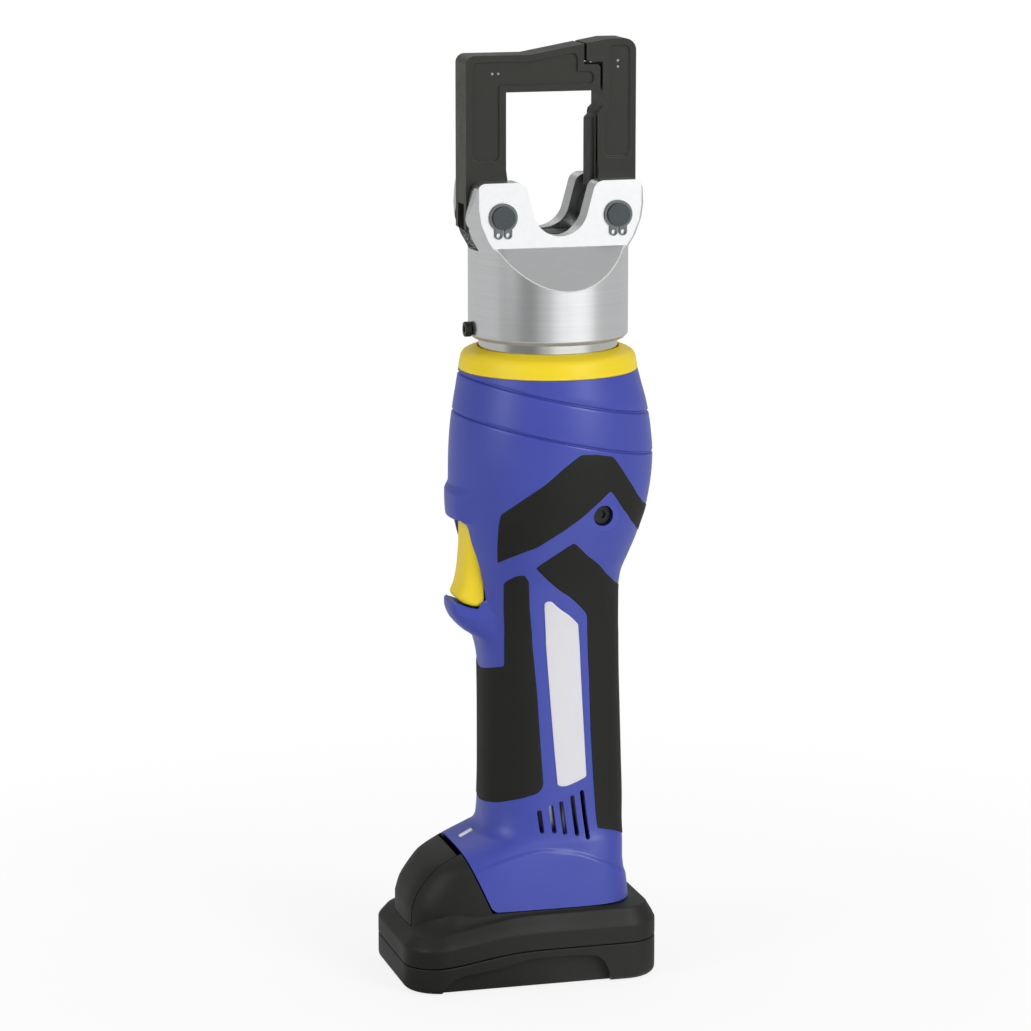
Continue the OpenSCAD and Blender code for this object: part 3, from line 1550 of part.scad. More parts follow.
module tower() {
    translate([-tower_front, -tower_neck_half, pack_deck_h - pack_wall])
        cube([tower_front + tower_rear, 2 * tower_neck_half, pack_wall + tower_top - pack_deck_h]);
    translate([-tower_front, -tower_half, tower_top - tower_flange_h])
        cube([tower_front + tower_rear, 2 * tower_half, tower_flange_h]);
}
module battery_upper_case() {
    slot_l = blade_l + 2 * blade_gap;
    color("#2b2d29")
        difference() {
            union() {
                difference() {
                    pack_form(0);
                    below_seam();
                    pack_form(pack_wall);
                }
                intersection() {
                    nose_fill(0);
                    ahead_of_joint(joint_gap);
                }
                tower();
            }
            difference() {
                button_face(button_gap);
                nose_fill(button_t + button_travel_room);
            }
            for (i = [-1:1])
                translate([
                    tower_rear - slot_l, i * blade_pitch - blade_t / 2 - blade_gap, blade_z - blade_gap
                ])
                    cube([2 * slot_l, blade_t + 2 * blade_gap, 2 * tower_flange_h]);
            pack_screw_holes(pack_screw_r, fit_gap);
            button_pivot(button_pivot_r + fit_gap, button_pivot_l + slide_gap);
            button_spring_place()
                cylinder(r = button_spring_r + 2 * slide_gap, h = 2 * button_cup_depth);
        }
}

module battery_cells() {
    color("teal")
        for (i = [0:cell_n - 1])
            translate([-cell_front, (i - (cell_n - 1) / 2) * cell_pitch, cell_z])
                rotate([0, 90, 0]) cylinder(r = cell_d / 2, h = cell_l);
}

module cell_straps() {
    span = (cell_n - 1) * cell_pitch + strap_w;
    color("silver")
        for (x = [-cell_front - strap_t - seat_gap, -cell_front + cell_l + seat_gap])
            translate([x, -span / 2, cell_z - strap_w / 2]) cube([strap_t, span, strap_w]);
}

module battery_contacts() {
    color("goldenrod")
        for (i = [-1:1])
            translate([
                tower_rear - blade_l, i * blade_pitch + blade_t / 2 + blade_gap - contact_t - seat_gap,
                blade_z - blade_gap + seat_gap
            ])
                cube([blade_l - slide_gap, contact_t, blade_h]);
}

module release_button() {
    color("#262824") {
        intersection() {
            difference() {
                nose_fill(0);
                nose_fill(button_t);
            }
            button_face(0);
            ahead_of_joint(joint_gap + button_top_gap);
        }
        button_pivot(button_pivot_r, button_pivot_l);
    }
}

module button_spring() {
    span = button_spring_l - 2 * button_spring_wire;
    echo(button_spring_gap = coil_gap(button_spring_turns, span, button_spring_wire));
    color("gray")
        button_spring_place()
            translate([0, 0, run_gap + button_spring_wire])
                coil(button_spring_turns, button_spring_r, button_spring_wire, span);
}

module battery_screws() {
    color("dimgray")
        for (p = pack_screw_places()) translate([p[0], p[1], 0])
            difference() {
                union() {
                    translate([0, 0, fit_gap]) cylinder(r = pack_screw_head_r, h = pack_screw_head_h - fit_gap);
                    cylinder(r = pack_screw_r, h = pack_screw_l);
                }
                cylinder(r = pack_screw_head_r / 2, h = pack_screw_head_h, center = true, $fn = 6);
            }
}

housing_left();
housing_right();
collar_ring();
upper_grip_left();
upper_grip_right();
front_grip_left();
front_grip_right();
rear_grip_left();
rear_grip_right();
label_plate();
status_lens();
housing_screws();
rail_frame();
terminal_block();
terminal_blades();
control_board();
motor_can();
motor_rotor();
ring_gear();
planet_gear_1();
planet_gear_2();
planet_gear_3();
planet_carrier();
eccentric_bearing();
pump_plunger();
pump_block();
reservoir_bladder();
switch_body();
switch_plunger();
trigger();
trigger_pin();
trigger_spring();
swivel_neck();
swivel_seal();
head_body();
head_screw();
ram_piston();
piston_seal();
die_holder();
return_spring();
hinge_pin();
latch_pin();
pin_circlips();
swing_frame();
latch_arm();
battery_lower_case();
battery_upper_case();
battery_cells();
cell_straps();
battery_contacts();
release_button();
button_spring();
battery_screws();
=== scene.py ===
"""Looks of the hydraulic crimping tool: dense skins, bevelled metal, materials, camera and studio light."""

import json
import math

import bmesh
import bpy
import numpy as np
from mathutils import Matrix, Vector


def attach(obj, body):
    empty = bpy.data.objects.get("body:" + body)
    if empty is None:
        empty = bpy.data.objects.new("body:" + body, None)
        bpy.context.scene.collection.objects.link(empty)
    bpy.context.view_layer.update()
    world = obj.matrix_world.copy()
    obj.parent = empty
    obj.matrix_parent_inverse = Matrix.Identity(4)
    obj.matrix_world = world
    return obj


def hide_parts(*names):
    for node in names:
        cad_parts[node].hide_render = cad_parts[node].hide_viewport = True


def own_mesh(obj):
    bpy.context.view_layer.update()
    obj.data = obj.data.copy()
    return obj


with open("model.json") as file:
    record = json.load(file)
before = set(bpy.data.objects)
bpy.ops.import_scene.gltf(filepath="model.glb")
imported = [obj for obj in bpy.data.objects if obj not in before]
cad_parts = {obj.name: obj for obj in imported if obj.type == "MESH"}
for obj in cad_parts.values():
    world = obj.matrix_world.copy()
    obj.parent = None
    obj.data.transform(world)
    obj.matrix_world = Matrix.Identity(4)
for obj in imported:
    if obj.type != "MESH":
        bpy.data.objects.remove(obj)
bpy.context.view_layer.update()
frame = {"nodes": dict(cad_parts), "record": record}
nodes = frame["nodes"]
MM = 0.001


# Curves of the moulded body, in millimetres

# Level, front reach, rear reach, half width, squareness, front reach without guard and brow
BODY = np.array([
    [31.0, 61.5, 29.6, 29.8, 3.6, 61.5],
    [36.6, 59.8, 29.1, 29.2, 3.6, 59.8],
    [40.4, 57.5, 28.7, 28.7, 3.6, 57.5],
    [44.1, 54.8, 28.4, 28.1, 3.6, 54.8],
    [46.4, 52.8, 28.2, 27.7, 3.6, 52.8],
    [50.5, 46.4, 28.4, 27.0, 3.5, 46.4],
    [53.3, 40.7, 28.6, 26.4, 3.4, 40.7],
    [56.3, 34.0, 28.8, 25.8, 3.2, 34.0],
    [58.4, 30.3, 29.1, 25.3, 2.9, 30.3],
    [62.1, 28.7, 29.5, 24.7, 2.6, 28.7],
    [70.0, 28.3, 29.8, 23.7, 2.5, 28.3],
    [85.0, 28.0, 29.4, 23.0, 2.5, 28.0],
    [104.9, 28.0, 28.8, 22.8, 2.5, 28.0],
    [125.0, 28.2, 28.2, 22.8, 2.5, 28.2],
    [137.0, 30.4, 28.0, 23.1, 2.5, 28.6],
    [142.0, 36.7, 27.9, 23.4, 2.45, 28.9],
    [147.1, 40.8, 27.9, 23.9, 2.41, 29.5],
    [151.0, 42.0, 27.9, 24.5, 2.38, 30.2],
    [153.3, 42.0, 27.9, 24.8, 2.36, 30.5],
    [154.8, 30.7, 27.9, 25.1, 2.34, 30.7],
    [162.9, 32.0, 28.8, 27.2, 2.28, 32.0],
    [170.0, 33.5, 31.7, 30.1, 2.2, 33.5],
    [177.1, 36.0, 35.0, 33.0, 2.1, 36.0],
    [185.0, 38.0, 37.6, 35.8, 2.1, 38.0],
    [186.9, 41.0, 38.3, 36.2, 2.1, 38.4],
    [196.8, 41.6, 40.8, 38.2, 2.0, 39.3],
    [200.4, 40.0, 41.3, 38.6, 2.0, 39.6],
    [205.4, 39.9, 41.8, 38.9, 2.0, 39.8],
    [210.9, 39.8, 42.0, 39.0, 2.0, 39.8],
    [221.0, 39.2, 41.2, 38.6, 2.0, 39.2],
    [231.1, 37.9, 39.5, 37.6, 2.0, 37.9],
    [239.0, 36.6, 37.3, 36.5, 2.0, 36.6],
    [245.2, 35.6, 35.6, 35.6, 2.0, 35.6],
])
SKIRT_Z = 31.0
BODY_H = 214.2
BODY_TOP = SKIRT_Z + BODY_H
WALL = 2.6
GROOVE_LEVELS = (220.2, 235.8)
GROOVE_SLOPE = 0.218
GROOVE_W = 1.7
GROOVE_DEPTH = 0.9
# Where guard and brow stand out: cosines of the turn, and levels where they narrow to the window
BULGE_TURN = (0.8, 0.98)
BULGE_NARROW = 5
GUARD_TOP = (147, 155)
BROW_FOOT = (188, 199)
WINDOW_MID = 170


def smooth_curve(xs, ys):
    """A monotone cubic through the points, as a function of an array."""
    h = np.diff(xs)
    d = np.diff(ys) / h
    m = np.zeros_like(ys)
    m[0] = d[0]
    m[-1] = d[-1]
    for i in range(1, len(xs) - 1):
        if d[i - 1] * d[i] > 0:
            a = 2 * h[i] + h[i - 1]
            b = h[i] + 2 * h[i - 1]
            m[i] = (a + b) / (a / d[i - 1] + b / d[i])

    def curve(x):
        x = np.clip(np.asarray(x, float), xs[0], xs[-1])
        i = np.clip(np.searchsorted(xs, x) - 1, 0, len(h) - 1)
        t = (x - xs[i]) / h[i]
        a = (1 + 2 * t) * (1 - t) ** 2 * ys[i] + t * (1 - t) ** 2 * h[i] * m[i]
        return a + t ** 2 * (3 - 2 * t) * ys[i + 1] + t ** 2 * (t - 1) * h[i] * m[i + 1]

    return curve


front_of, rear_of, half_of, square_of, core_of = (smooth_curve(BODY[:, 0], BODY[:, c]) for c in range(1, 6))


def ramp(v, low, high):
    """A smooth step from 0 at low to 1 at high."""
    t = np.clip((v - low) / (high - low), 0, 1)
    return t * t * (3 - 2 * t)


def skin(turn, z, off=0.0, guard=1.0):
    """Points of the body's skin; turn runs from the rear (0) by the near side (90) to the front (180)."""
    turn = np.radians(np.asarray(turn, float))
    z = np.asarray(z, float)
    c = np.cos(turn)
    s = np.sin(turn)
    n = square_of(z)
    bulge = ramp(-c, *BULGE_TURN)
    fade = np.where(z < WINDOW_MID, ramp(z, *GUARD_TOP), 1 - ramp(z, *BROW_FOOT))
    bulge = guard * bulge ** (1 + BULGE_NARROW * fade)
    front = core_of(z) + bulge * (front_of(z) - core_of(z))
    reach = np.where(c < 0, front, rear_of(z)) + off
    x = np.sign(c) * np.abs(c) ** (2 / n) * reach
    y = -np.sign(s) * np.abs(s) ** (2 / n) * (half_of(z) + off)
    return np.stack([x, y, z + 0 * x], -1)


# Mesh helpers

def add_object(name, mesh):
    obj = bpy.data.objects.new(name, mesh)
    bpy.context.scene.collection.objects.link(obj)
    return obj


def mesh_object(name, points, faces):
    mesh = bpy.data.meshes.new(name)
    mesh.from_pydata([tuple(p) for p in np.asarray(points, float) * MM], [], [tuple(f) for f in faces])
    mesh.validate()
    return add_object(name, mesh)


def grid_faces(rows, cols, start=0, wrap=False, flip=False):
    faces = []
    for r in range(rows - 1):
        for c in range(cols if wrap else cols - 1):
            d = (c + 1) % cols
            low = start + r * cols
            high = low + cols
            quad = (low + c, low + d, high + d, high + c)
            faces.append(quad[::-1] if flip else quad)
    return faces


def closed_patch(name, outer, inner):
    """A solid between two grids of points alike, with its four edges closed."""
    rows, cols = outer.shape[:2]
    n = rows * cols
    faces = grid_faces(rows, cols) + grid_faces(rows, cols, n, flip=True)
    rim = [(0, c) for c in range(cols)] + [(r, cols - 1) for r in range(1, rows)]
    rim += [(rows - 1, c) for c in range(cols - 2, -1, -1)] + [(r, 0) for r in range(rows - 2, 0, -1)]
    for a, b in zip(rim, rim[1:] + rim[:1]):
        i = a[0] * cols + a[1]
        j = b[0] * cols + b[1]
        faces.append((j, i, n + i, n + j))
    obj = mesh_object(name, np.concatenate([outer.reshape(-1, 3), inner.reshape(-1, 3)]), faces)
    outward(obj)
    return obj


def ring_loft(name, rings):
    """A closed solid through rings of equally many points."""
    rings = np.asarray(rings, float)
    rows, cols = rings.shape[:2]
    faces = grid_faces(rows, cols, wrap=True)
    faces.append(tuple(range(cols)))
    faces.append(tuple(range((rows - 1) * cols, rows * cols)))
    obj = mesh_object(name, rings.reshape(-1, 3), faces)
    outward(obj)
    return obj


def outward(obj):
    bm = bmesh.new()
    bm.from_mesh(obj.data)
    bmesh.ops.recalc_face_normals(bm, faces=bm.faces)
    bm.to_mesh(obj.data)
    bm.free()


def mirrored(obj, name):
    """A copy of the object on the far side."""
    mesh = obj.data.copy()
    mesh.transform(Matrix.Scale(-1, 4, (0, 1, 0)))
    mesh.flip_normals()
    return add_object(name, mesh)


def prism(name, outline, y0, y1):
    """A plate with its outline in X and Z, between two levels of Y."""
    outline = np.asarray(outline, float)
    n = len(outline)
    near = np.stack([outline[:, 0], np.full(n, y0), outline[:, 1]], -1)
    far = np.stack([outline[:, 0], np.full(n, y1), outline[:, 1]], -1)
    faces = [(i, (i + 1) % n, n + (i + 1) % n, n + i) for i in range(n)]
    faces += [tuple(range(n)), tuple(range(n, 2 * n))]
    obj = mesh_object(name, np.concatenate([near, far]), faces)
    outward(obj)
    return obj


def rod(name, centre, axis, r, length, sides):
    """A round bar from a centre along an axis."""
    axis = Vector(axis).normalized()
    turn = axis.to_track_quat("Z", "Y").to_matrix()
    rings = []
    for h in (0, length):
        ring = [
            turn @ Vector((r * math.cos(a), r * math.sin(a), h)) + Vector(centre)
            for a in np.linspace(0, 2 * math.pi, sides, endpoint=False)
        ]
        rings.append([tuple(p) for p in ring])
    return ring_loft(name, rings)


def joined(name, objs):
    """One object from several whose meshes are apart."""
    bm = bmesh.new()
    for o in objs:
        bm.from_mesh(o.data)
        bpy.data.objects.remove(o)
    mesh = bpy.data.meshes.new(name)
    bm.to_mesh(mesh)
    bm.free()
    return add_object(name, mesh)


def settle(obj):
    """Applies the object's modifiers to its mesh."""
    graph = bpy.context.evaluated_depsgraph_get()
    mesh = bpy.data.meshes.new_from_object(obj.evaluated_get(graph))
    obj.modifiers.clear()
    obj.data = mesh


def cut(obj, tool, operation="DIFFERENCE"):
    """Cuts the object by a tool, or joins the two, and removes the tool."""
    mod = obj.modifiers.new("cut", "BOOLEAN")
    mod.operation = operation
    mod.solver = "EXACT"
    mod.object = tool
    settle(obj)
    bpy.data.objects.remove(tool)


def bevel(obj, width, segments=3, angle=35):
    mod = obj.modifiers.new("bevel", "BEVEL")
    mod.width = width * MM
    mod.segments = segments
    mod.limit_method = "ANGLE"
    mod.angle_limit = math.radians(angle)
    settle(obj)


def round_edges(bm, edges, width, segments):
    bmesh.ops.bevel(
        bm, geom=edges, offset=width * MM, segments=segments, affect="EDGES", clamp_overlap=True, profile=0.5
    )


def shade(obj, angle=32):
    """Smooth shading, with edges sharper than the angle kept crisp."""
    mesh = obj.data
    mesh.shade_smooth()
    bm = bmesh.new()
    bm.from_mesh(mesh)
    for e in bm.edges:
        sharp = len(e.link_faces) == 2 and e.calc_face_angle(0) > math.radians(angle)
        e.smooth = not sharp
    bm.to_mesh(mesh)
    bm.free()


def crisp(obj, angle=32):
    """Smooth shading whose normals follow the large faces, so that flat faces stay flat."""
    shade(obj, angle)
    mod = obj.modifiers.new("normals", "WEIGHTED_NORMAL")
    mod.keep_sharp = True
    mod.weight = 60
    settle(obj)


def cad_copy(node, name, flat=0.6):
    """A new piece with a CAD node's shape, its flat faces made whole so that edges can be bevelled."""
    bm = bmesh.new()
    bm.from_mesh(nodes[node].data)
    bmesh.ops.remove_doubles(bm, verts=bm.verts, dist=2e-6)
    bmesh.ops.dissolve_limit(
        bm, angle_limit=math.radians(flat), verts=bm.verts, edges=bm.edges, delimit=set()
    )
    bmesh.ops.recalc_face_normals(bm, faces=bm.faces)
    mesh = bpy.data.meshes.new(name)
    bm.to_mesh(mesh)
    bm.free()
    return add_object(name, mesh)


def finish_piece(obj, body, slot, *replaced):
    """Gives a piece its slot's material and its body, and hides the CAD nodes that it stands for."""
    obj.data.materials.clear()
    obj.data.materials.append(mats[slot])
    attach(obj, body)
    if replaced:
        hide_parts(*replaced)


# Materials

def new_material(name):
    mat = bpy.data.materials.new(name)
    mat.use_nodes = True
    tree = mat.node_tree
    return mat, tree, tree.nodes["Principled BSDF"]


def add_node(tree, kind, **inputs):
    node = tree.nodes.new(kind)
    for key, value in inputs.items():
        node.inputs[key.replace("_", " ")].default_value = value
    return node


def coords(tree, scale=(1, 1, 1)):
    place = tree.nodes.new("ShaderNodeTexCoord").outputs
    mapping = tree.nodes.new("ShaderNodeMapping")
    mapping.inputs["Scale"].default_value = scale
    tree.links.new(place["Object"], mapping.inputs["Vector"])
    return mapping.outputs["Vector"]


def noise(tree, vector, scale, detail=3.0, rough=0.5):
    node = add_node(tree, "ShaderNodeTexNoise", Scale=scale, Detail=detail, Roughness=rough)
    tree.links.new(vector, node.inputs["Vector"])
    return node.outputs["Fac"]


def remap(tree, value, low, high, to_low, to_high, kind="LINEAR"):
    node = tree.nodes.new("ShaderNodeMapRange")
    node.interpolation_type = kind
    for key, v in (("From Min", low), ("From Max", high), ("To Min", to_low), ("To Max", to_high)):
        node.inputs[key].default_value = v
    tree.links.new(value, node.inputs["Value"])
    return node.outputs["Result"]


def feed(tree, socket, value):
    """Sets a socket to a number or a colour, or links it to another node."""
    if isinstance(value, (int, float, tuple)):
        socket.default_value = value
    else:
        tree.links.new(value, socket)


def math_node(tree, operation, a, b=0):
    node = tree.nodes.new("ShaderNodeMath")
    node.operation = operation
    feed(tree, node.inputs[0], a)
    feed(tree, node.inputs[1], b)
    return node.outputs[0]


def vector_node(tree, operation, a, b=(0, 0, 0)):
    node = tree.nodes.new("ShaderNodeVectorMath")
    node.operation = operation
    feed(tree, node.inputs[0], a)
    feed(tree, node.inputs[1], b)
    return node.outputs


def axes_of(tree, vector):
    node = tree.nodes.new("ShaderNodeSeparateXYZ")
    tree.links.new(vector, node.inputs["Vector"])
    return node.outputs


def blend_colours(tree, fac, a, b):
    node = tree.nodes.new("ShaderNodeMix")
    node.data_type = "RGBA"
    tree.links.new(fac, node.inputs["Factor"])
    feed(tree, node.inputs[6], a)
    feed(tree, node.inputs[7], b)
    return node.outputs[2]


def bump(tree, bsdf, height, strength, distance):
    node = add_node(tree, "ShaderNodeBump", Strength=strength, Distance=distance)
    tree.links.new(height, node.inputs["Height"])
    tree.links.new(node.outputs["Normal"], bsdf.inputs["Normal"])


def srgb(r, g, b):
    """A linear colour from the values seen on a screen."""
    lin = [v / 255 / 12.92 if v / 255 < 0.04045 else ((v / 255 + 0.055) / 1.055) ** 2.4 for v in (r, g, b)]
    return (*lin, 1.0)


def shift(colour, k):
    return tuple(min(1.0, v * k) for v in colour[:3]) + (1.0,)


def mottled(tree, value, colour, low, high):
    """A colour that goes from the low to the high share of itself with a noise."""
    return blend_colours(tree, remap(tree, value, 0.3, 0.7, 0, 1), shift(colour, low), shift(colour, high))


def moulded(name, colour, rough, grain=1400.0, grain_h=0.00006, vary=0.06, specular=0.45):
    """Moulded plastic or rubber with a spark-eroded grain and slight handling marks."""
    mat, tree, bsdf = new_material(name)
    at = coords(tree)
    broad = noise(tree, at, 38.0, 4.0)
    fine = noise(tree, at, grain, 2.0)
    tree.links.new(mottled(tree, broad, colour, 1 - vary, 1 + vary), bsdf.inputs["Base Color"])
    tree.links.new(remap(tree, broad, 0.25, 0.75, rough - 0.05, rough + 0.06), bsdf.inputs["Roughness"])
    bump(tree, bsdf, fine, 0.5, grain_h)
    bsdf.inputs["Specular IOR Level"].default_value = specular
    return mat


def metal(name, colour, rough, stretch, line_h=0.00002, vary=0.08, metallic=1.0, scale=900.0):
    """Machined metal with fine tool marks along the directions that stretch leaves small."""
    mat, tree, bsdf = new_material(name)
    lines = noise(tree, coords(tree, stretch), scale, 3.0, 0.6)
    broad = noise(tree, coords(tree), 60.0, 4.0)
    tree.links.new(mottled(tree, lines, colour, 1 - vary, 1 + vary), bsdf.inputs["Base Color"])
    tree.links.new(remap(tree, broad, 0.3, 0.7, rough - 0.06, rough + 0.06), bsdf.inputs["Roughness"])
    bump(tree, bsdf, lines, 0.4, line_h)
    bsdf.inputs["Metallic"].default_value = metallic
    return mat


# Where the painted highlight on the frame's outer flank gives way to painted shade on its inside, along X in
# metres
PAINTED_LIGHT_FLANK = (-0.03, -0.015)


def phosphated(name, colour, edge):
    """Dark phosphated steel: mottled, with a painted highlight on the outer flank and painted shade inside,
    and worn along its edges.
    """
    mat, tree, bsdf = new_material(name)
    at = coords(tree)
    mottle = noise(tree, at, 160.0, 6.0, 0.65)
    fine = noise(tree, at, 1800.0, 2.0)
    coat = mottled(tree, mottle, colour, 0.88, 1.14)
    place = tree.nodes.new("ShaderNodeTexCoord").outputs
    flank = math_node(tree, "ABSOLUTE", axes_of(tree, place["Normal"])["Y"])
    worn = math_node(
        tree, "MULTIPLY", remap(tree, flank, 0.15, 0.4, 0, 0.4), remap(tree, flank, 0.85, 0.97, 1, 0)
    )
    # Sides facing along X: a painted highlight on the outer flank, painted shade on the inside
    outer = remap(tree, axes_of(tree, place["Object"])["X"], *PAINTED_LIGHT_FLANK, 1, 0)
    side = blend_colours(tree, outer, shift(colour, 0.55), shift(colour, 2.4))
    # Faces square to Y keep the mottled coat; the other faces take the painted highlight and painted shade
    bare = blend_colours(tree, remap(tree, flank, 0.3, 0.9, 1, 0), coat, side)
    tree.links.new(blend_colours(tree, worn, bare, edge), bsdf.inputs["Base Color"])
    tree.links.new(remap(tree, mottle, 0.3, 0.7, 0.42, 0.55), bsdf.inputs["Roughness"])
    bump(tree, bsdf, fine, 0.35, 0.00005)
    bsdf.inputs["Metallic"].default_value = 0.2
    bsdf.inputs["Specular IOR Level"].default_value = 0.4
    return mat


# Where the head's surfaces change, in metres: flat ear faces, their foot, the slope's top and the rim of its
# painted highlight, dull edge
EAR_FACE = (0.01785, 0.01797)
EAR_FOOT = (0.2949, 0.2951)
SLOPE_TOP = (0.2953, 0.2956)
SLOPE_HIGHLIGHT_RIM = (0.0312, 0.0314)
DULL_EDGE = (0.2592, 0.26)


def turned_head(name, colour):
    """A turned steel head: rings on its wall, a grind on ears and slopes, which are a touch lighter, a
    painted highlight on the slopes' rim, a dull lower edge.
    """
    mat, tree, bsdf = new_material(name)
    rings = noise(tree, coords(tree, (0.02, 0.02, 1.6)), 900.0, 3.0, 0.6)
    grind = noise(tree, coords(tree), 420.0, 4.0, 0.6)
    place = tree.nodes.new("ShaderNodeTexCoord").outputs
    axes = axes_of(tree, place["Object"])
    depth = math_node(tree, "ABSOLUTE", axes["Y"])
    on_face = math_node(
        tree, "MULTIPLY", remap(tree, depth, *EAR_FACE, 0, 1), remap(tree, axes["Z"], *EAR_FOOT, 0, 1)
    )
    wall = mottled(tree, rings, colour, 0.97, 1.03)
    flat = mottled(tree, grind, colour, 1.04, 1.08)
    plan = vector_node(tree, "MULTIPLY", place["Object"], (1, 1, 0))["Vector"]
    radius = vector_node(tree, "LENGTH", plan)["Value"]
    facing = axes_of(tree, place["Normal"])
    slope = math_node(
        tree, "MULTIPLY", remap(tree, facing["Z"], 0.08, 0.2, 0, 1), remap(tree, axes["Z"], *SLOPE_TOP, 1, 0)
    )
    # A painted highlight: a near-white, less metallic colour on the outer rim of the slopes
    rim = math_node(tree, "MULTIPLY", slope, remap(tree, radius, *SLOPE_HIGHLIGHT_RIM, 0, 0.8))
    whole = blend_colours(tree, slope, blend_colours(tree, on_face, wall, flat), flat)
    with_painted_rim = blend_colours(tree, rim, whole, srgb(248, 248, 248))
    bare = remap(tree, axes["Z"], *DULL_EDGE, 0, 1)
    tree.links.new(blend_colours(tree, bare, srgb(150, 153, 164), with_painted_rim), bsdf.inputs["Base Color"])
    tree.links.new(remap(tree, on_face, 0, 1, 0.26, 0.3), bsdf.inputs["Roughness"])
    metallic = math_node(tree, "MULTIPLY", bare, remap(tree, rim, 0, 1, 1, 0.35))
    tree.links.new(metallic, bsdf.inputs["Metallic"])
    bump(tree, bsdf, rings, 0.3, 0.00002)
    return mat


BLUE = srgb(63, 75, 171)
YELLOW = srgb(247, 218, 38)
mats = {
    "body_plastic": moulded("moulded_blue", BLUE, 0.38, 1100.0, 0.00004, 0.03, 0.5),
    "collar_plastic": moulded("moulded_yellow", YELLOW, 0.42, 1100.0, 0.00004, 0.02, 0.35),
    "soft_grip": moulded("soft_black", srgb(27, 29, 24), 0.64, 1500.0, 0.00009, 0.08, 0.28),
    "black_plastic": moulded("moulded_black", srgb(28, 30, 26), 0.52, 1300.0, 0.00008, 0.07, 0.32),
    "clear_lens": moulded("frosted_lens", srgb(235, 238, 242), 0.25, 900.0, 0.00002, 0.02, 0.5),
    "label_foil": metal("plain_foil", srgb(226, 225, 230), 0.42, (1, 1, 8), 0.00001, 0.03, 0.35),
    "satin_steel": turned_head("turned_steel", srgb(236, 237, 238)),
    "chromed_steel": metal("ground_chrome", srgb(226, 226, 222), 0.16, (0.02, 0.02, 1.2), 0.00001, 0.03),
    "pin_steel": metal("pin_steel", srgb(72, 77, 79), 0.45, (1, 0.02, 1), 0.00002, 0.08, 0.6),
    "dark_steel": metal("blackened_steel", srgb(46, 47, 46), 0.42, (1, 1, 1), 0.00002, 0.1, 0.6),
    "bright_steel": metal("drawn_steel", srgb(196, 198, 200), 0.3, (0.03, 0.03, 1), 0.00002, 0.06),
    "gear_steel": metal("gear_steel", srgb(142, 145, 148), 0.36, (1, 1, 0.05), 0.00002, 0.08),
    "spring_steel": metal("spring_steel", srgb(116, 119, 122), 0.33, (1, 1, 1), 0.00001, 0.06),
    "phosphated_steel": phosphated("phosphated_steel", srgb(40, 41, 36), srgb(92, 93, 87)),
    "cast_aluminium": metal(
        "cast_aluminium", srgb(182, 186, 188), 0.45, (1, 1, 1), 0.00006, 0.07, 1.0, 500.0
    ),
    "seal_rubber": moulded("seal_rubber", srgb(34, 34, 33), 0.5, 900.0, 0.00003, 0.05),
    "contact_brass": metal("contact_brass", srgb(206, 168, 84), 0.28, (0.05, 1, 1), 0.00001, 0.06),
    "copper_core": metal("wound_copper", srgb(182, 112, 64), 0.36, (0.02, 0.02, 1), 0.00008, 0.12),
    "cell_wrap": moulded("cell_wrap", srgb(50, 140, 126), 0.3, 700.0, 0.00002, 0.04),
    "board": moulded("board_lacquer", srgb(34, 104, 70), 0.35, 600.0, 0.00004, 0.1),
}
slot_of = {s["node"]: s["material_slot"] for s in frame["record"]["subparts"]}
for name, obj in nodes.items():
    for entry in obj.material_slots:
        entry.material = mats[slot_of[name]]


# Moulded half shells

# Level where the rows start to lean, gaps beside the grooves, and stretches with closer rows
LEAN_FOOT = 203.4
GROOVE_LEAD = 1.4
GROOVE_CLEAR = 1.6
ROW_STEP = 1.5
FINE_STEP = 0.5
FINE_BANDS = ((43, 60), (145, 158), (183, 189), (195, BODY_TOP))
# Across a groove: shares of its half width and of its depth
GROOVE_SHARES = (
    (-1.0, 0), (-0.72, 0.12), (-0.5, 0.7), (-0.3, 1), (0.3, 1), (0.5, 0.7), (0.72, 0.12), (1.0, 0),
)


def band_rows():
    """Levels of the shell's rows: [level, slope, sink]."""
    rows = []
    z = SKIRT_Z
    while z < LEAN_FOOT:
        rows.append([z, 0, 0])
        z += FINE_STEP if any(a < z < b for a, b in FINE_BANDS) else ROW_STEP
    low, high = GROOVE_LEVELS
    for k in np.linspace(0, 1, 10):
        rows.append([LEAN_FOOT + k * (low - GROOVE_LEAD - LEAN_FOOT), GROOVE_SLOPE * k, 0])
    half = GROOVE_W / 2
    for p, sink in GROOVE_SHARES:
        rows.append([low + p * half, GROOVE_SLOPE, sink * GROOVE_DEPTH])
    for z in np.linspace(low + GROOVE_CLEAR, high - GROOVE_CLEAR, 9):
        rows.append([z, GROOVE_SLOPE, 0])
    for p, sink in GROOVE_SHARES:
        rows.append([high + p * half, GROOVE_SLOPE, sink * GROOVE_DEPTH])
    for k in np.linspace(0.25, 1, 6):
        rows.append([high + half + k * (BODY_TOP - high - half), GROOVE_SLOPE * (1 - k), 0])
    return rows


# The raised arch on the skirt: its edge in X and Z
ARCH = np.array([
    [-46, 43.5], [-37.5, 46.8], [-24, 51.6], [-9, 54.6], [4, 52.6], [16.3, 47.8], [24, 43.6], [34, 37],
])
arch_level = smooth_curve(ARCH[:, 0], ARCH[:, 1])
ARCH_PROUD = 0.7
# The arch's edge, as levels about it, and where it fades out at front and rear, as sines of the turn
ARCH_EDGE = (-0.8, 0.2)
ARCH_SIDE = (0.05, 0.5)


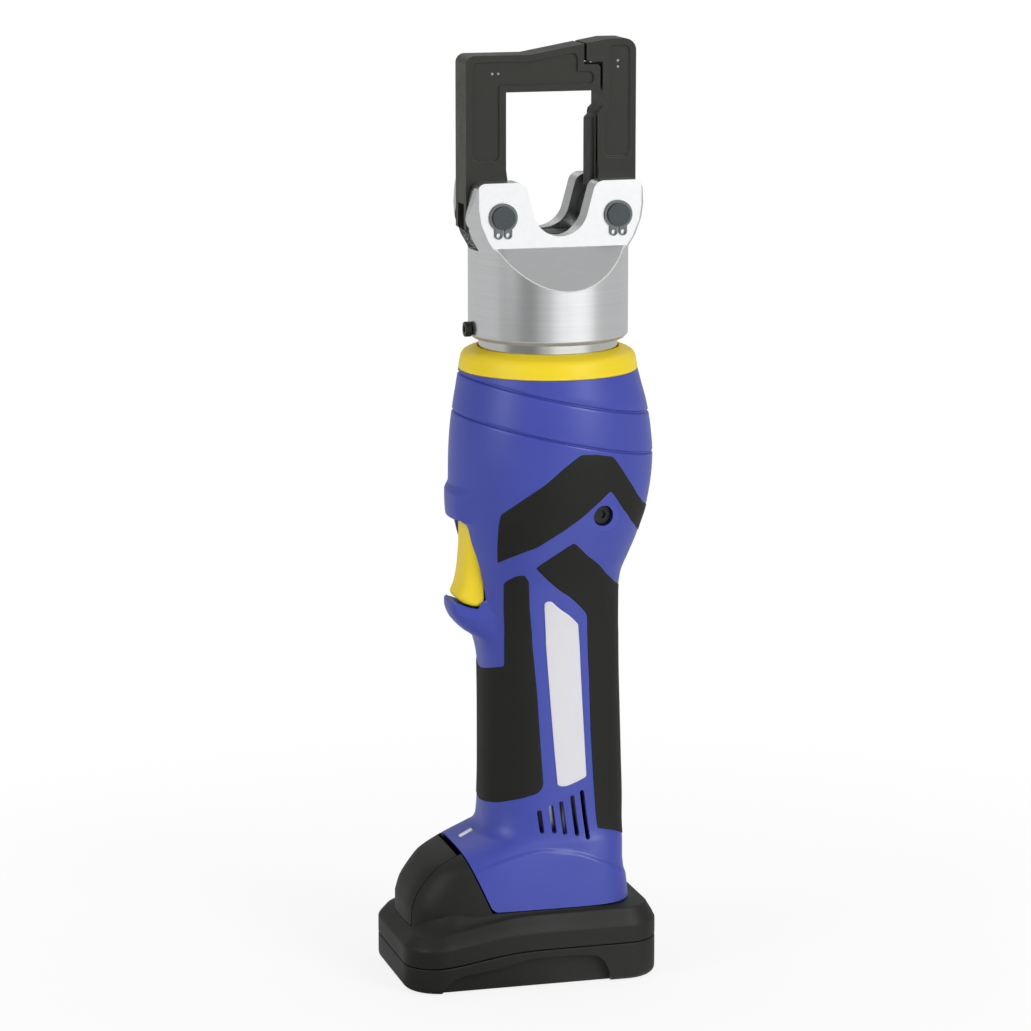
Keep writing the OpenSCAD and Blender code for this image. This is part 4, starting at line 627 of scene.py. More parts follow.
def shell(name, columns=121):
    turns = np.linspace(0, 180, columns)
    outer = []
    inner = []
    for level, slope, sink in band_rows():
        z = np.minimum(level - slope * skin(turns, level)[:, 0], BODY_TOP)
        base = skin(turns, z)
        below_edge = 1 - ramp(z - arch_level(base[:, 0]), *ARCH_EDGE)
        on_side = ramp(np.sin(np.radians(turns)), *ARCH_SIDE)
        outer.append(skin(turns, z, ARCH_PROUD * below_edge * on_side - sink))
        inner.append(skin(turns, z, -WALL, 0.0))
    return closed_patch(name, np.array(outer), np.array(inner))


def vent_slot(name, x, z0, z1):
    """A slot with round ends that leans in X and Z."""
    r = VENT_W / 2
    outline = []
    a = math.radians(VENT_LEAN)
    along = np.array([-math.sin(a), math.cos(a)])
    across = np.array([math.cos(a), math.sin(a)])
    foot = np.array([x, z0]) + r * along
    head = foot + (z1 - z0 - 2 * r) * along
    for end, start in ((head, 0), (foot, math.pi)):
        for k in np.linspace(start, start + math.pi, 9):
            outline.append(end + r * (math.cos(k) * across + math.sin(k) * along))
    return prism(name, outline, -PAST_SIDE, VENT_INNER)


# Places past the body that tools reach to, and how far they go below a joint
PAST_SIDE = 60
PAST_FRONT = -120
PAST_REAR = 90
PAST_FOOT = 10

TRIGGER_W = 21.0
WINDOW_GAP = 0.7
WINDOW_FAR = 40
WINDOW = [
    (-60, 154.2), (-40.4, 154.2), (-39.6, 153.2), (-35.7, 151.6), (-31.7, 150.8), (-18.0, 150.8),
    (-18.0, 190.5), (-33.7, 190.5), (-36.7, 186.9), (-60, 186.9),
]
SCREW = (12.7, 191.0)
RECESS_Y = -29.8
RECESS_R = 4.2
RECESS_L = 20
BOSS_Y = -24.5
BOSS_R = 6.5
BOSS_L = 10.2
# Place, foot and head of each vent
VENTS = ((-8.9, 60.6, 70.0), (-3.9, 60.3, 71.9), (0.5, 59.5, 73.2), (5.5, 58.6, 75.3), (10.0, 56.9, 77.1))
VENT_W = 1.9
VENT_LEAN = 6
VENT_INNER = -15
JOINT = [(-30.5, 31.0), (-47.9, 71.0)]
JOINT_CORNER = 3.5
JOINT_GAP = 0.6


def ahead_of_joint(name, gap, corner=0.0):
    """Everything ahead of the leaning joint between the skirt and the pack's nose."""
    (x0, z0), (x1, z1) = JOINT
    slope = (x1 - x0) / (z1 - z0)
    low = z0 - PAST_FOOT
    path = [(x0 + slope * (low - z0) - gap, low), (x1 - gap, z1), (PAST_FRONT, z1), (PAST_FRONT, low)]
    if corner:
        lean = math.atan(-slope)
        run = corner / math.tan(math.pi / 4 + lean / 2)
        arc = [
            (x0 + run + corner * math.cos(a), z0 + corner + corner * math.sin(a))
            for a in np.linspace(1.5 * math.pi, math.pi + lean, 9)
        ]
        path = [(x0 + run, low), *arc, *path[1:]]
    return prism(name, path, -PAST_SIDE, PAST_SIDE)


LENS = np.array([-34.2, 56.3])
LENS_TILT = 27
LENS_HALF_L = 3
LENS_HALF_W = 1.3
LENS_DEPTH = 2.2
LENS_PROUD = 0.35
LENS_GAP = 0.1


def lens_block(name, grow):
    tilt = math.radians(LENS_TILT)
    along = np.array([math.cos(tilt), math.sin(tilt)])
    up = np.array([-math.sin(tilt), math.cos(tilt)])
    end = LENS_HALF_L + grow
    foot = -LENS_DEPTH - grow
    corners = [(-end, foot), (end, foot), (end, LENS_PROUD), (-end, LENS_PROUD)]
    side = LENS_HALF_W + grow
    return prism(name, [LENS + u * along + v * up for u, v in corners], -side, side)


def screw_rod(name, y, r, length):
    return rod(name, (SCREW[0], y, SCREW[1]), (0, -1, 0), r, length, 48)


near_shell = shell("body_shell_near")
tools = [prism("tool_window", WINDOW, -TRIGGER_W / 2 - WINDOW_GAP, WINDOW_FAR)]
tools += [vent_slot("tool_vent", *vent) for vent in VENTS]
tools.append(screw_rod("tool_recess", RECESS_Y, RECESS_R, RECESS_L))
cut(near_shell, joined("tools", tools))
cut(near_shell, ahead_of_joint("tool_joint", 0, JOINT_CORNER))
cut(near_shell, lens_block("tool_lens", LENS_GAP))
boss = screw_rod("screw_boss", BOSS_Y, BOSS_R, BOSS_L)
cut(boss, screw_rod("tool_hole", RECESS_Y, RECESS_R, RECESS_L))
near_shell = joined("body_shell_near", [near_shell, boss])
shade(near_shell, 38)
far_shell = mirrored(near_shell, "body_shell_far")
finish_piece(near_shell, "tool_body", "body_plastic", "housing_left")
finish_piece(far_shell, "tool_body", "body_plastic", "housing_right")


# Soft grips and the bare plate

# Turn and level of a grip's one edge, then of its other edge
UPPER_GRIP = [
    (139.5, 171.2, 133.0, 192.0), (110.0, 179.0, 106.5, 205.0), (94.5, 186.0, 96.0, 211.5),
    (84.5, 191.5, 86.5, 216.3), (76.5, 196.0, 77.5, 216.0), (68.0, 201.0, 67.0, 214.5),
    (57.0, 192.5, 56.0, 205.0), (47.5, 187.0, 45.0, 197.5), (34.0, 182.5, 35.0, 193.0),
    (15.0, 179.0, 15.0, 189.5), (0, 177.0, 0, 187.5),
]
FRONT_GRIP = [
    (124.5, 166.3, 118.0, 166.8), (135.2, 163.0, 114.5, 164.0), (136.2, 155.0, 113.5, 154.0),
    (138.0, 140.0, 110.7, 138.0), (138.6, 129.6, 107.0, 118.0), (139.2, 128.6, 104.5, 98.0),
    (140.4, 128.2, 102.0, 79.5), (146, 127.6, 106.5, 76.7), (154, 127, 122, 74.6),
    (165, 126, 146, 72.2), (180, 124.8, 180, 70),
]
REAR_GRIP = [
    (88.5, 180.5, 110.5, 170.0), (78.5, 174.5, 102.0, 165.0), (57.5, 165.5, 93.0, 160.0),
    (40.0, 160.5, 83.0, 154.5), (16.0, 157.0, 73.5, 149.0), (0, 156.0, 73.5, 142.0),
    (0, 140.0, 73.5, 135.5), (0, 118.0, 72.0, 122.5), (0, 100, 71, 100), (0, 80, 69, 80), (0, 53, 67, 61),
]
GRIP_PROUD = 0.22
GRIP_EDGE = 0.5
# Turn and level of the plate's corners; the eased border is a share of the plate
PLATE = [(102.9, 158.8), (81.3, 145.4), (75.4, 82.4), (92.3, 78.4)]
PLATE_CORNER = 1.3
PLATE_PROUD = 0.35
PLATE_BORDER = 0.03


def stations(table, count, softness):
    """Edge points along a soft grip, resampled and with their corners rounded."""
    table = np.asarray(table, float)
    mid = skin((table[:, 0] + table[:, 2]) / 2, (table[:, 1] + table[:, 3]) / 2)
    at = np.concatenate([[0], np.cumsum(np.linalg.norm(np.diff(mid, axis=0), axis=1))])
    length = at[-1]
    s = np.linspace(0, length, count)
    dense = np.stack([np.interp(s, at, table[:, c]) for c in range(4)], -1)
    reach = max(1, int(softness / length * count))
    window = np.ones(2 * reach + 1) / (2 * reach + 1)
    for _ in range(2):
        before = 2 * dense[:1] - dense[reach:0:-1]
        after = 2 * dense[-1:] - dense[-2:-reach - 2:-1]
        pad = np.concatenate([before, dense, after])
        dense = np.stack([np.convolve(pad[:, c], window, "valid") for c in range(4)], -1)
    return dense, length


def soft_patch(name, table, proud, edge, softness=0.7, count=160, across=26, foot=-0.6, corner=0.9):
    """A grip piece that stands proud of the skin with a rounded border and two rounded corners."""
    dense, length = stations(table, count, softness)
    steps = np.array([0, 0.04, 0.14, 0.32, 0.6, 1.0]) * edge
    s = np.linspace(0, length, count)
    rows_at = np.concatenate([steps[:-1], np.linspace(edge, length, count)])
    rows = np.stack([np.interp(rows_at, s, dense[:, c]) for c in range(4)], -1)
    outer = []
    inner = []
    for at, (ta, za, tb, zb) in zip(rows_at, rows):
        width = np.linalg.norm(skin(ta, za) - skin((ta + tb) / 2, (za + zb) / 2)) * 2
        border = np.minimum(steps / width, 0.45)
        middle = np.linspace(border[-1], 1 - border[-1], across)
        v = np.concatenate([border[:-1], middle, (1 - border[:-1])[::-1]])
        gap = np.minimum(np.minimum(v, 1 - v) * width, at)
        lift = proud * np.sqrt(np.clip(1 - (1 - np.clip(gap / edge, 0, 1)) ** 2, 0, 1))
        drawn = corner - math.sqrt(corner ** 2 - max(corner - at, 0) ** 2)
        v = drawn / width + v * (1 - 2 * drawn / width)
        t = ta + (tb - ta) * v
        z = za + (zb - za) * v
        outer.append(skin(t, z, lift))
        inner.append(skin(t, z, foot))
    return closed_patch(name, np.array(outer), np.array(inner))


def rounded_outline(corners, r, steps=7):
    """A closed outline with its corners rounded by a radius."""
    corners = np.asarray(corners, float)
    outline = []
    for i, p in enumerate(corners):
        a = corners[i - 1] - p
        b = corners[(i + 1) % len(corners)] - p
        a /= np.linalg.norm(a)
        b /= np.linalg.norm(b)
        half = math.acos(np.clip(a @ b, -1, 1)) / 2
        run = r / math.tan(half)
        centre = p + (a + b) / np.linalg.norm(a + b) * r / math.sin(half)
        start = p + a * run - centre
        end = p + b * run - centre
        sweep = math.atan2(start[0] * end[1] - start[1] * end[0], start @ end)
        for k in np.linspace(0, sweep, steps):
            c, s = math.cos(k), math.sin(k)
            outline.append(centre + (start[0] * c - start[1] * s, start[0] * s + start[1] * c))
    return np.array(outline)


def along_lines(outline, step):
    """The outline with points added on its longer lines."""
    dense = []
    for a, b in zip(outline, np.roll(outline, -1, 0)):
        count = max(1, int(np.linalg.norm(b - a) / step))
        dense += [a + (b - a) * k / count for k in range(count)]
    return np.array(dense)


def thin_plate(name, corners, r, proud, edge, per_turn=0.43):
    """A thin plate laid on the skin, its corners given as turns and levels."""
    flat = np.asarray(corners, float) * (per_turn, 1)
    outline = along_lines(rounded_outline(flat, r), 2.0)
    centre = outline.mean(0)
    rings = []
    for share, lift in ((1, 0), (1, 0.6), (1 - 0.3 * edge, 0.93), (1 - edge, 1)):
        pts = centre + (outline - centre) * share
        rings.append(skin(pts[:, 0] / per_turn, pts[:, 1], proud * lift))
    for share in np.linspace(0.85, 0.05, 9):
        pts = centre + (outline - centre) * share
        rings.append(skin(pts[:, 0] / per_turn, pts[:, 1], proud))
    return ring_loft(name, rings)


for label, table in (("upper", UPPER_GRIP), ("front", FRONT_GRIP), ("rear", REAR_GRIP)):
    near = soft_patch(f"{label}_grip_near", table, GRIP_PROUD, GRIP_EDGE)
    shade(near, 50)
    far = mirrored(near, f"{label}_grip_far")
    finish_piece(near, "tool_body", "soft_grip", f"{label}_grip_left")
    finish_piece(far, "tool_body", "soft_grip", f"{label}_grip_right")

plate = thin_plate("silver_plate", PLATE, PLATE_CORNER, PLATE_PROUD, PLATE_BORDER)
shade(plate, 50)
finish_piece(plate, "tool_body", "label_foil", "label_plate")

lens = lens_block("shoulder_light", 0.0)
bevel(lens, 0.3, 3)
shade(lens)
finish_piece(lens, "tool_body", "clear_lens", "status_lens")


# Trigger

# Level, front, rear, half width and radius of the front corners
TRIGGER = np.array([
    [151.60, -32.2, -30.2, 8.6, 0.9], [151.75, -33.4, -29.7, 9.4, 1.8], [152.30, -35.4, -29.3, 10.0, 3.0],
    [153.20, -37.4, -29.1, 10.35, 4.4], [154.40, -38.7, -29.1, 10.5, 5.2], [155.60, -39.1, -29.1, 10.5, 5.6],
    [157.00, -38.6, -29.1, 10.5, 5.8], [158.60, -37.9, -29.1, 10.5, 5.8], [162.50, -36.9, -29.2, 10.5, 5.6],
    [167.00, -36.1, -29.7, 10.5, 5.2], [172.00, -35.6, -29.7, 10.5, 4.9], [177.00, -35.3, -29.7, 10.5, 4.7],
    [182.00, -35.3, -29.7, 10.5, 4.7], [186.20, -35.3, -28.9, 10.5, 4.7], [187.60, -34.5, -27.0, 10.5, 4.0],
    [190.50, -33.6, -25.3, 10.5, 3.0], [193.60, -32.3, -26.7, 10.5, 2.5], [194.70, -30.2, -28.8, 10.3, 0.6],
])


def trigger_ring(front, rear, half, r, steps=9):
    """A section of the lever, with round front corners and eased rear ones."""
    eased_r = min(0.6, (rear - front) * 0.3)
    ring = []
    for cx, cy, radius, start in (
        (front + r, half - r, r, 0.5), (front + r, r - half, r, 1.0),
        (rear - eased_r, eased_r - half, eased_r, 1.5), (rear - eased_r, half - eased_r, eased_r, 2.0),
    ):
        for a in np.linspace(start * math.pi, (start + 0.5) * math.pi, steps):
            ring.append((cx + radius * math.cos(a), cy + radius * math.sin(a)))
    return ring


trigger_curves = [smooth_curve(TRIGGER[:, 0], TRIGGER[:, c]) for c in range(1, 5)]
TRIGGER_TOP = TRIGGER[-1, 0]
TRIGGER_EVEN = 155.0
TRIGGER_STEP = 0.75
even = np.arange(TRIGGER_EVEN, TRIGGER_TOP, TRIGGER_STEP)
levels = np.concatenate([TRIGGER[:5, 0], even, [TRIGGER_TOP]])
trigger = ring_loft("trigger_lever", [
    [(x, y, z) for x, y in trigger_ring(*(float(c(z)) for c in trigger_curves))] for z in levels
])
shade(trigger, 40)
finish_piece(trigger, "trigger", "collar_plastic", "trigger")


# Metal pieces with their edges eased

def eased(node, name, body, width, segments=3, angle=32):
    """A CAD node's shape with its sharp edges rounded."""
    obj = cad_copy(node, name)
    bevel(obj, width, segments, angle)
    crisp(obj, 34)
    finish_piece(obj, body, slot_of[node], node)


def wall_depth(edge):
    """How near to the middle plane the walls beside an edge reach, or None without a sharp wall."""
    if len(edge.link_faces) != 2 or edge.calc_face_angle(0) < 0.5:
        return None
    walls = [f for f in edge.link_faces if abs(f.normal.y) < 0.5]
    return min((abs(v.co.y) for f in walls for v in f.verts), default=None)


# Depths of the walls beside an edge, in metres, and how far that edge is rounded: outer edges, panel rims
FORGED_EDGES = ((-1, 0.006, 0.85, 5), (0.0069, 0.0079, 0.4, 3))
# Faces larger than this, in square metres, or this square to the sides, are shaded flat
FLAT_AREA = 2e-5
FLAT_FACING = 0.999


def forged(node, name, body):
    """A flat forging: its outer edges well rounded, the rims of its sunk panels only eased."""
    obj = cad_copy(node, name)
    bm = bmesh.new()
    bm.from_mesh(obj.data)
    for low, high, width, segments in FORGED_EDGES:
        edges = []
        for e in bm.edges:
            depth = wall_depth(e)
            if depth is not None and low < depth < high:
                edges.append(e)
        round_edges(bm, edges, width, segments)
        bm.normal_update()
    bm.to_mesh(obj.data)
    bm.free()
    shade(obj, 34)
    for face in obj.data.polygons:
        face.use_smooth = not (face.area > FLAT_AREA or abs(face.normal.y) > FLAT_FACING)
    finish_piece(obj, body, slot_of[node], node)


forged("swing_frame", "frame_forging", "swing_frame")
forged("latch_arm", "latch_forging", "latch")


DOT_FLOOR = -6.6
DOT_R = 0.55
DOT_H = 0.2


def pale_dots(name, places, body):
    """Small pale discs on the floors of two dimples."""
    dots = [rod("dot", (x, DOT_FLOOR, z), (0, -1, 0), DOT_R, DOT_H, 24) for x, z in places]
    obj = joined(name, dots)
    shade(obj, 40)
    finish_piece(obj, body, "gear_steel")


pale_dots("frame_dots", ((-24.55, 362.3), (-22.15, 362.3)), "swing_frame")
pale_dots("latch_dots", ((26.45, 364.1), (26.45, 366.5)), "latch")
eased("head_body", "turned_head", "head", 0.5, 3)
eased("collar_ring", "neck_collar", "tool_body", 0.5, 3, 20)
eased("hinge_pin", "hinge_pin_ground", "head", 0.35, 3)
eased("latch_pin", "latch_pin_ground", "head", 0.35, 3)
eased("pin_circlips", "spring_clips", "head", 0.12, 2)
eased("head_screw", "lock_screw", "head", 0.3, 3)
eased("housing_screws", "body_screws", "tool_body", 0.25, 2)

# The return spring, held at its top, which shortens as the ram rises; here it keeps its CAD length, with a
# mesh of its own
spring = cad_copy("return_spring", "ram_return_spring", 0.0)
shade(spring, 40)
finish_piece(spring, "head", "spring_steel", "return_spring")
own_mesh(spring)


# Battery pack

PACK_FRONT, PACK_REAR, PACK_HALF, PACK_CORNER = 65.5, 39.0, 35.0, 15.0
DECK = 30.4
NOSE_FOOT = 20.0
NOSE_TOP = 53.2
NOSE_INSET = 3.8
RIDGE_INSET = 3.7
APRON_INSET = 4.1
APRON_RISE = 0.25
APRON_SLOPE = 0.8
DECK_CLEAR = 0.1
# Levels of the pack's seam, ledge and ridge along the object
seam_of, ledge_of, ridge_of = (
    smooth_curve(np.array(xs, float), np.array(zs, float)) for xs, zs in (
        (
            [-70, -62, -53.4, -45, -37.6, -29, -21, -12, 40],
            [10.4, 10.4, 10.8, 11.6, 12.8, 14.1, 15.0, 15.4, 15.6],
        ),
        (
            [-70, -62, -57, -50, -41.6, -32, -21, -12, 40],
            [18.0, 18.0, 18.3, 18.9, 20.1, 21.7, 22.9, 23.1, 23.0],
        ),
        (
            [-70, -62, -56.6, -44.8, -32.4, -20, -10, 40],
            [22.2, 22.2, 22.6, 24.6, 27.0, 28.9, 29.2, 29.2],
        ),
    )
)


def pack_columns(arc=14, long=34, short=12):
    """Centres and directions round the pack's outline: [x, y, across x, across y]."""
    b = PACK_REAR - PACK_CORNER
    f = -PACK_FRONT + PACK_CORNER
    w = PACK_HALF - PACK_CORNER
    columns = []

    def turn(x, y, q):
        for k in range(arc + 1):
            a = math.radians(-90 * q - 90 * k / arc)
            columns.append((x, y, math.cos(a), math.sin(a)))

    turn(b, -w, 0)
    columns.extend((b + (f - b) * k / long, -w, 0, -1) for k in range(1, long))
    turn(f, -w, 1)
    columns.extend((f, -w + 2 * w * k / short, -1, 0) for k in range(1, short))
    turn(f, w, 2)
    columns.extend((f + (b - f) * k / long, w, 0, 1) for k in range(1, long))
    turn(b, w, 3)
    columns.extend((b, w - 2 * w * k / short, 1, 0) for k in range(1, short))
    return np.array(columns)


COLUMNS = pack_columns()
OUTLINE = COLUMNS[:, :2] + PACK_CORNER * COLUMNS[:, 2:]


def pack_ring(inset, z):
    plan = COLUMNS[:, :2] + (PACK_CORNER - np.asarray(inset)).reshape(-1, 1) * COLUMNS[:, 2:]
    return np.column_stack([plan, np.broadcast_to(z, len(plan))])


def nose_ring(z):
    """Points of the body's skin carried down, one for each of the pack's columns."""
    level = np.maximum(z, SKIRT_Z)
    n = square_of(level)
    plan = pack_ring(NOSE_INSET, 0.0)
    reach = np.where(plan[:, 0] < 0, core_of(level), rear_of(level))
    c = np.sign(plan[:, 0]) * np.abs(plan[:, 0] / reach) ** (n / 2)
    s = np.abs(plan[:, 1] / half_of(level)) ** (n / 2) * -np.sign(plan[:, 1])
    pts = skin(np.degrees(np.arctan2(s, c)), level)
    pts[:, 2] = z
    return pts


SEAM = seam_of(OUTLINE[:, 0])
LEDGE = ledge_of(OUTLINE[:, 0])
RIDGE = ridge_of(OUTLINE[:, 0])
SCOOP = [
    (-53.2, -1.0), (-52.4, 1.6), (-50.5, 4.0), (-47.8, 6.0), (-44.5, 7.2), (-40.0, 7.8), (-36.6, 8.2),
    (-31.0, 9.0), (-26.5, 9.9), (-21.0, 11.2), (-16.5, 12.1), (-12.0, 12.35), (-4.0, 12.4), (7.0, 12.0),
    (10.6, 11.4), (12.8, 10.2), (14.4, 8.4), (15.6, 6.0), (16.6, 3.0), (17.5, -1.0),
]
SCOOP_Y = 31.0
# Inset and level of the foot's rows, then inset and distance from seam, ledge and ridge of the others
FOOT = [(3.4, 0.0), (2.2, 0.05), (1.2, 0.35), (0.5, 0.95), (0.12, 1.7), (0.0, 2.6), (0.0, 6.0)]
LIP = [(0.0, 0.75), (0.05, 0.45), (0.18, 0.24), (0.4, 0.15), (1.6, 0.15)]
LEDGE_ROWS = [(0.0, -1.6), (0.0, -0.8), (0.07, -0.3), (0.26, 0.12), (0.55, 0.5)]
RIDGE_ROWS = [(3.5, -0.28), (3.78, 0), (APRON_INSET, 0.17)]
# Shares of the way up the nose
NOSE_ROWS = (0, 0.02, 0.05, 0.1, 0.16, 0.24, 0.32, 0.4, 0.48, 0.56, 0.64, 0.7, 0.76, 0.82, 0.88, 0.94, 1.0)
# Where the scoops' edges lie, in metres, and the least fold of an edge that is rounded
SCOOP_SIDE = 0.0305
SCOOP_FRONT, SCOOP_REAR = -0.056, 0.02
SCOOP_LOW, SCOOP_HIGH = 0.0015, 0.0128
SCOOP_FOLD = 0.7

lower = ring_loft(
    "pack_lower", [pack_ring(i, z) for i, z in FOOT] + [pack_ring(i, SEAM - d) for i, d in LIP]
)
scoops = [prism("scoop", SCOOP, *reach) for reach in ((-PAST_SIDE, -SCOOP_Y), (SCOOP_Y, PAST_SIDE))]
cut(lower, joined("scoops", scoops))


def ease_scoops(obj, width):
    """Rounds only the edges that the scoops have left on the sides."""
    bm = bmesh.new()
    bm.from_mesh(obj.data)
    edges = []
    for e in bm.edges:
        ends = [v.co for v in e.verts]
        folded = len(e.link_faces) == 2 and e.calc_face_angle(0) > SCOOP_FOLD
        on_side = all(abs(p.y) > SCOOP_SIDE and SCOOP_FRONT < p.x < SCOOP_REAR for p in ends)
        in_reach = all(p.z < SCOOP_HIGH for p in ends) and any(p.z > SCOOP_LOW for p in ends)
        if folded and on_side and in_reach:
            edges.append(e)
    round_edges(bm, edges, width, 3)
    bm.to_mesh(obj.data)
    bm.free()


ease_scoops(lower, 0.5)
crisp(lower, 40)
finish_piece(lower, "battery", "black_plastic", "battery_lower_case")

rows = [pack_ring(i, SEAM + d) for i, d in LIP[::-1]]
rows += [pack_ring(i, LEDGE + d) for i, d in LEDGE_ROWS]
for k in (0.25, 0.5, 0.75, 0.88):
    rows.append(pack_ring(RIDGE_INSET * k, LEDGE + (RIDGE - LEDGE) * k))
rows += [pack_ring(i, RIDGE + d) for i, d in RIDGE_ROWS]
skirt_foot = nose_ring(np.full(len(OUTLINE), SKIRT_Z))
apron = np.linalg.norm((pack_ring(APRON_INSET, 0.0) - skirt_foot)[:, :2], axis=1)
FOOT_Z = np.minimum(RIDGE + APRON_RISE + APRON_SLOPE * apron, DECK + DECK_CLEAR)
foot = nose_ring(FOOT_Z)
last = rows[-1]
for k, up in ((0.35, 0.22), (0.65, 0.5), (0.88, 0.82)):
    ring = last + (foot - last) * k
    ring[:, 2] = last[:, 2] + (foot[:, 2] - last[:, 2]) * up
    rows.append(ring)
for k in NOSE_ROWS:
    rows.append(nose_ring(FOOT_Z + (NOSE_TOP - FOOT_Z) * k))
upper = ring_loft("pack_upper", rows)


def behind_joint(name, gap):
    """Everything behind the joint and above the deck."""
    (x0, z0), (x1, z1) = JOINT
    slope = (x1 - x0) / (z1 - z0)
    path = [(x0 + slope * (DECK - z0) - gap, DECK), (x1 - gap, z1), (PAST_REAR, z1), (PAST_REAR, DECK)]
    return prism(name, path, -PAST_SIDE, PAST_SIDE)


def box(name, low, high):
    corners = [(low[0], low[2]), (high[0], low[2]), (high[0], high[2]), (low[0], high[2])]
    return prism(name, corners, low[1], high[1])


def nose_loft(name, off, z0=NOSE_FOOT, z1=NOSE_TOP, count=28, columns=160):
    """The nose's form, sunk by an offset."""
    rings = []
    for z in np.linspace(z0, z1, count):
        level = max(z - off / 2, SKIRT_Z)
        pts = skin(np.linspace(0, 360, columns, endpoint=False), level, -off)
        pts[:, 2] = z - off / 2
        rings.append(pts)
    return ring_loft(name, rings)


# The button's foot and its half widths at the foot and at the level above the nose
BUTTON_FOOT = 23.6
BUTTON_FOOT_HALF = 13.5
BUTTON_HEAD = 72.0
BUTTON_HEAD_HALF = 17
BUTTON_REAR = -10
BUTTON_WALL = 3.4
BUTTON_GAP = 0.4
BUTTON_CLEAR = 2.6
# The pocket is deeper than the button, and lower at its top, so that the button can tilt in
POCKET_DEPTH = 6.8
POCKET_TOP = 50.2
CORE_FOOT = 12.0
# The tower that stands between the rails, its flange and its three slots for the blades
TOWER_FRONT, TOWER_REAR = -40, 11
TOWER_FOOT, FLANGE_FOOT, TOWER_TOP = 28.3, 36.8, 42.3
TOWER_HALF, FLANGE_HALF = 13.7, 18
SLOT_PITCH, SLOT_HALF = 7, 1.0
SLOT_FRONT, SLOT_REAR = 0.8, 21
SLOT_FOOT, SLOT_TOP = 36.7, 50


def button_prism(name, grow):
    """Everything in the button's tapered outline, seen from the front."""
    foot = BUTTON_FOOT - grow
    low = BUTTON_FOOT_HALF + grow
    high = BUTTON_HEAD_HALF + grow
    section = [(-low, foot), (low, foot), (high, BUTTON_HEAD), (-high, BUTTON_HEAD)]
    rings = [[(x, y, z) for y, z in section] for x in (PAST_FRONT, BUTTON_REAR)]
    return ring_loft(name, rings)


cut(upper, behind_joint("tool_joint", JOINT_GAP))
tower = box("tower", (TOWER_FRONT, -TOWER_HALF, TOWER_FOOT), (TOWER_REAR, TOWER_HALF, TOWER_TOP))
flange = box("flange", (TOWER_FRONT, -FLANGE_HALF, FLANGE_FOOT), (TOWER_REAR, FLANGE_HALF, TOWER_TOP))
cut(tower, flange, "UNION")
for i in (-1, 0, 1):
    y = i * SLOT_PITCH
    slot_low = (SLOT_FRONT, y - SLOT_HALF, SLOT_FOOT)
    slot_high = (SLOT_REAR, y + SLOT_HALF, SLOT_TOP)
    cut(tower, box("tool_slot", slot_low, slot_high))
cut(upper, tower, "UNION")
pocket = button_prism("tool_pocket", BUTTON_GAP)
cut(pocket, nose_loft("tool_core", POCKET_DEPTH, CORE_FOOT, POCKET_TOP))
cut(upper, pocket)
crisp(upper, 36)
finish_piece(upper, "battery", "black_plastic", "battery_upper_case")

button = nose_loft("release_pad", 0)
cut(button, nose_loft("tool_inner", BUTTON_WALL, CORE_FOOT))
cut(button, button_prism("tool_face", 0.0), "INTERSECT")
cut(button, ahead_of_joint("tool_joint", BUTTON_CLEAR), "INTERSECT")
bevel(button, 0.5, 3, 40)
crisp(button, 36)
finish_piece(button, "release_button", "black_plastic", "release_button")


# Floor, light and camera

def seen_rays(tree):
    """1 for rays of the camera and those that glass lets through, and the flag of mirrored rays."""
    path = tree.nodes.new("ShaderNodeLightPath").outputs
    seen = math_node(tree, "MAXIMUM", path["Is Camera Ray"], path["Is Transmission Ray"])
    return seen, path["Is Glossy Ray"]


def lobe(tree, vector, direction, low, high, amount):
    """An amount that grows where a direction lies near another, from the low to the high cosine."""
    lean = vector_node(tree, "DOT_PRODUCT", vector, direction)["Value"]
    return remap(tree, lean, low, high, 0, amount, "SMOOTHSTEP")


def pick(tree, flag, off, on):
    """One of two values by a flag of 0 or 1."""
    node = tree.nodes.new("ShaderNodeMix")
    tree.links.new(flag, node.inputs["Factor"])
    feed(tree, node.inputs[2], off)
    feed(tree, node.inputs[3], on)
    return node.outputs[0]


FLOOR_HALF = 30
FLOOR_GAP = 0.0005
# Distances over which the floor that is seen turns plain white, and the white's share near the object
WHITE_REACH = (0.1, 0.4)
NEAR_WHITE = 0.85
# Floor and world in mirrored rays, where they are brighter or darker, and the world's own light
FLOOR_MIRRORED = 0.54
BRIGHT_SIDE = (0.37, -0.929, 0)
DARK_SIDE = (-0.848, -0.53, 0)
WORLD_MIRRORED = 0.36
SOFT_BOX = (0.4, -0.8, 0.447)
WORLD_LIGHT = 0.37

corners = [(x * FLOOR_HALF, y * FLOOR_HALF, 0) for x, y in ((-1, -1), (1, -1), (1, 1), (-1, 1))]
floor_mesh = bpy.data.meshes.new("floor")
floor_mesh.from_pydata(corners, [], [(0, 1, 2, 3)])
floor = add_object("floor", floor_mesh)
floor.location.z = -FLOOR_GAP
mat, tree, bsdf = new_material("pale_floor")
bsdf.inputs["Base Color"].default_value = (0.93, 0.93, 0.93, 1)
bsdf.inputs["Roughness"].default_value = 0.9
place = tree.nodes.new("ShaderNodeTexCoord").outputs
distance = vector_node(tree, "LENGTH", place["Object"])["Value"]
far = remap(tree, distance, *WHITE_REACH, NEAR_WHITE, 1.0)
around = vector_node(tree, "NORMALIZE", place["Object"])["Vector"]
bright = lobe(tree, around, BRIGHT_SIDE, 0.76, 0.97, 0.46)
dark = lobe(tree, around, DARK_SIDE, 0.78, 0.97, -0.31)
mirrored_level = math_node(tree, "ADD", FLOOR_MIRRORED, math_node(tree, "ADD", bright, dark))
seen, glossy = seen_rays(tree)
amount = math_node(tree, "MAXIMUM", math_node(tree, "MULTIPLY", seen, far), glossy)
white = tree.nodes.new("ShaderNodeEmission")
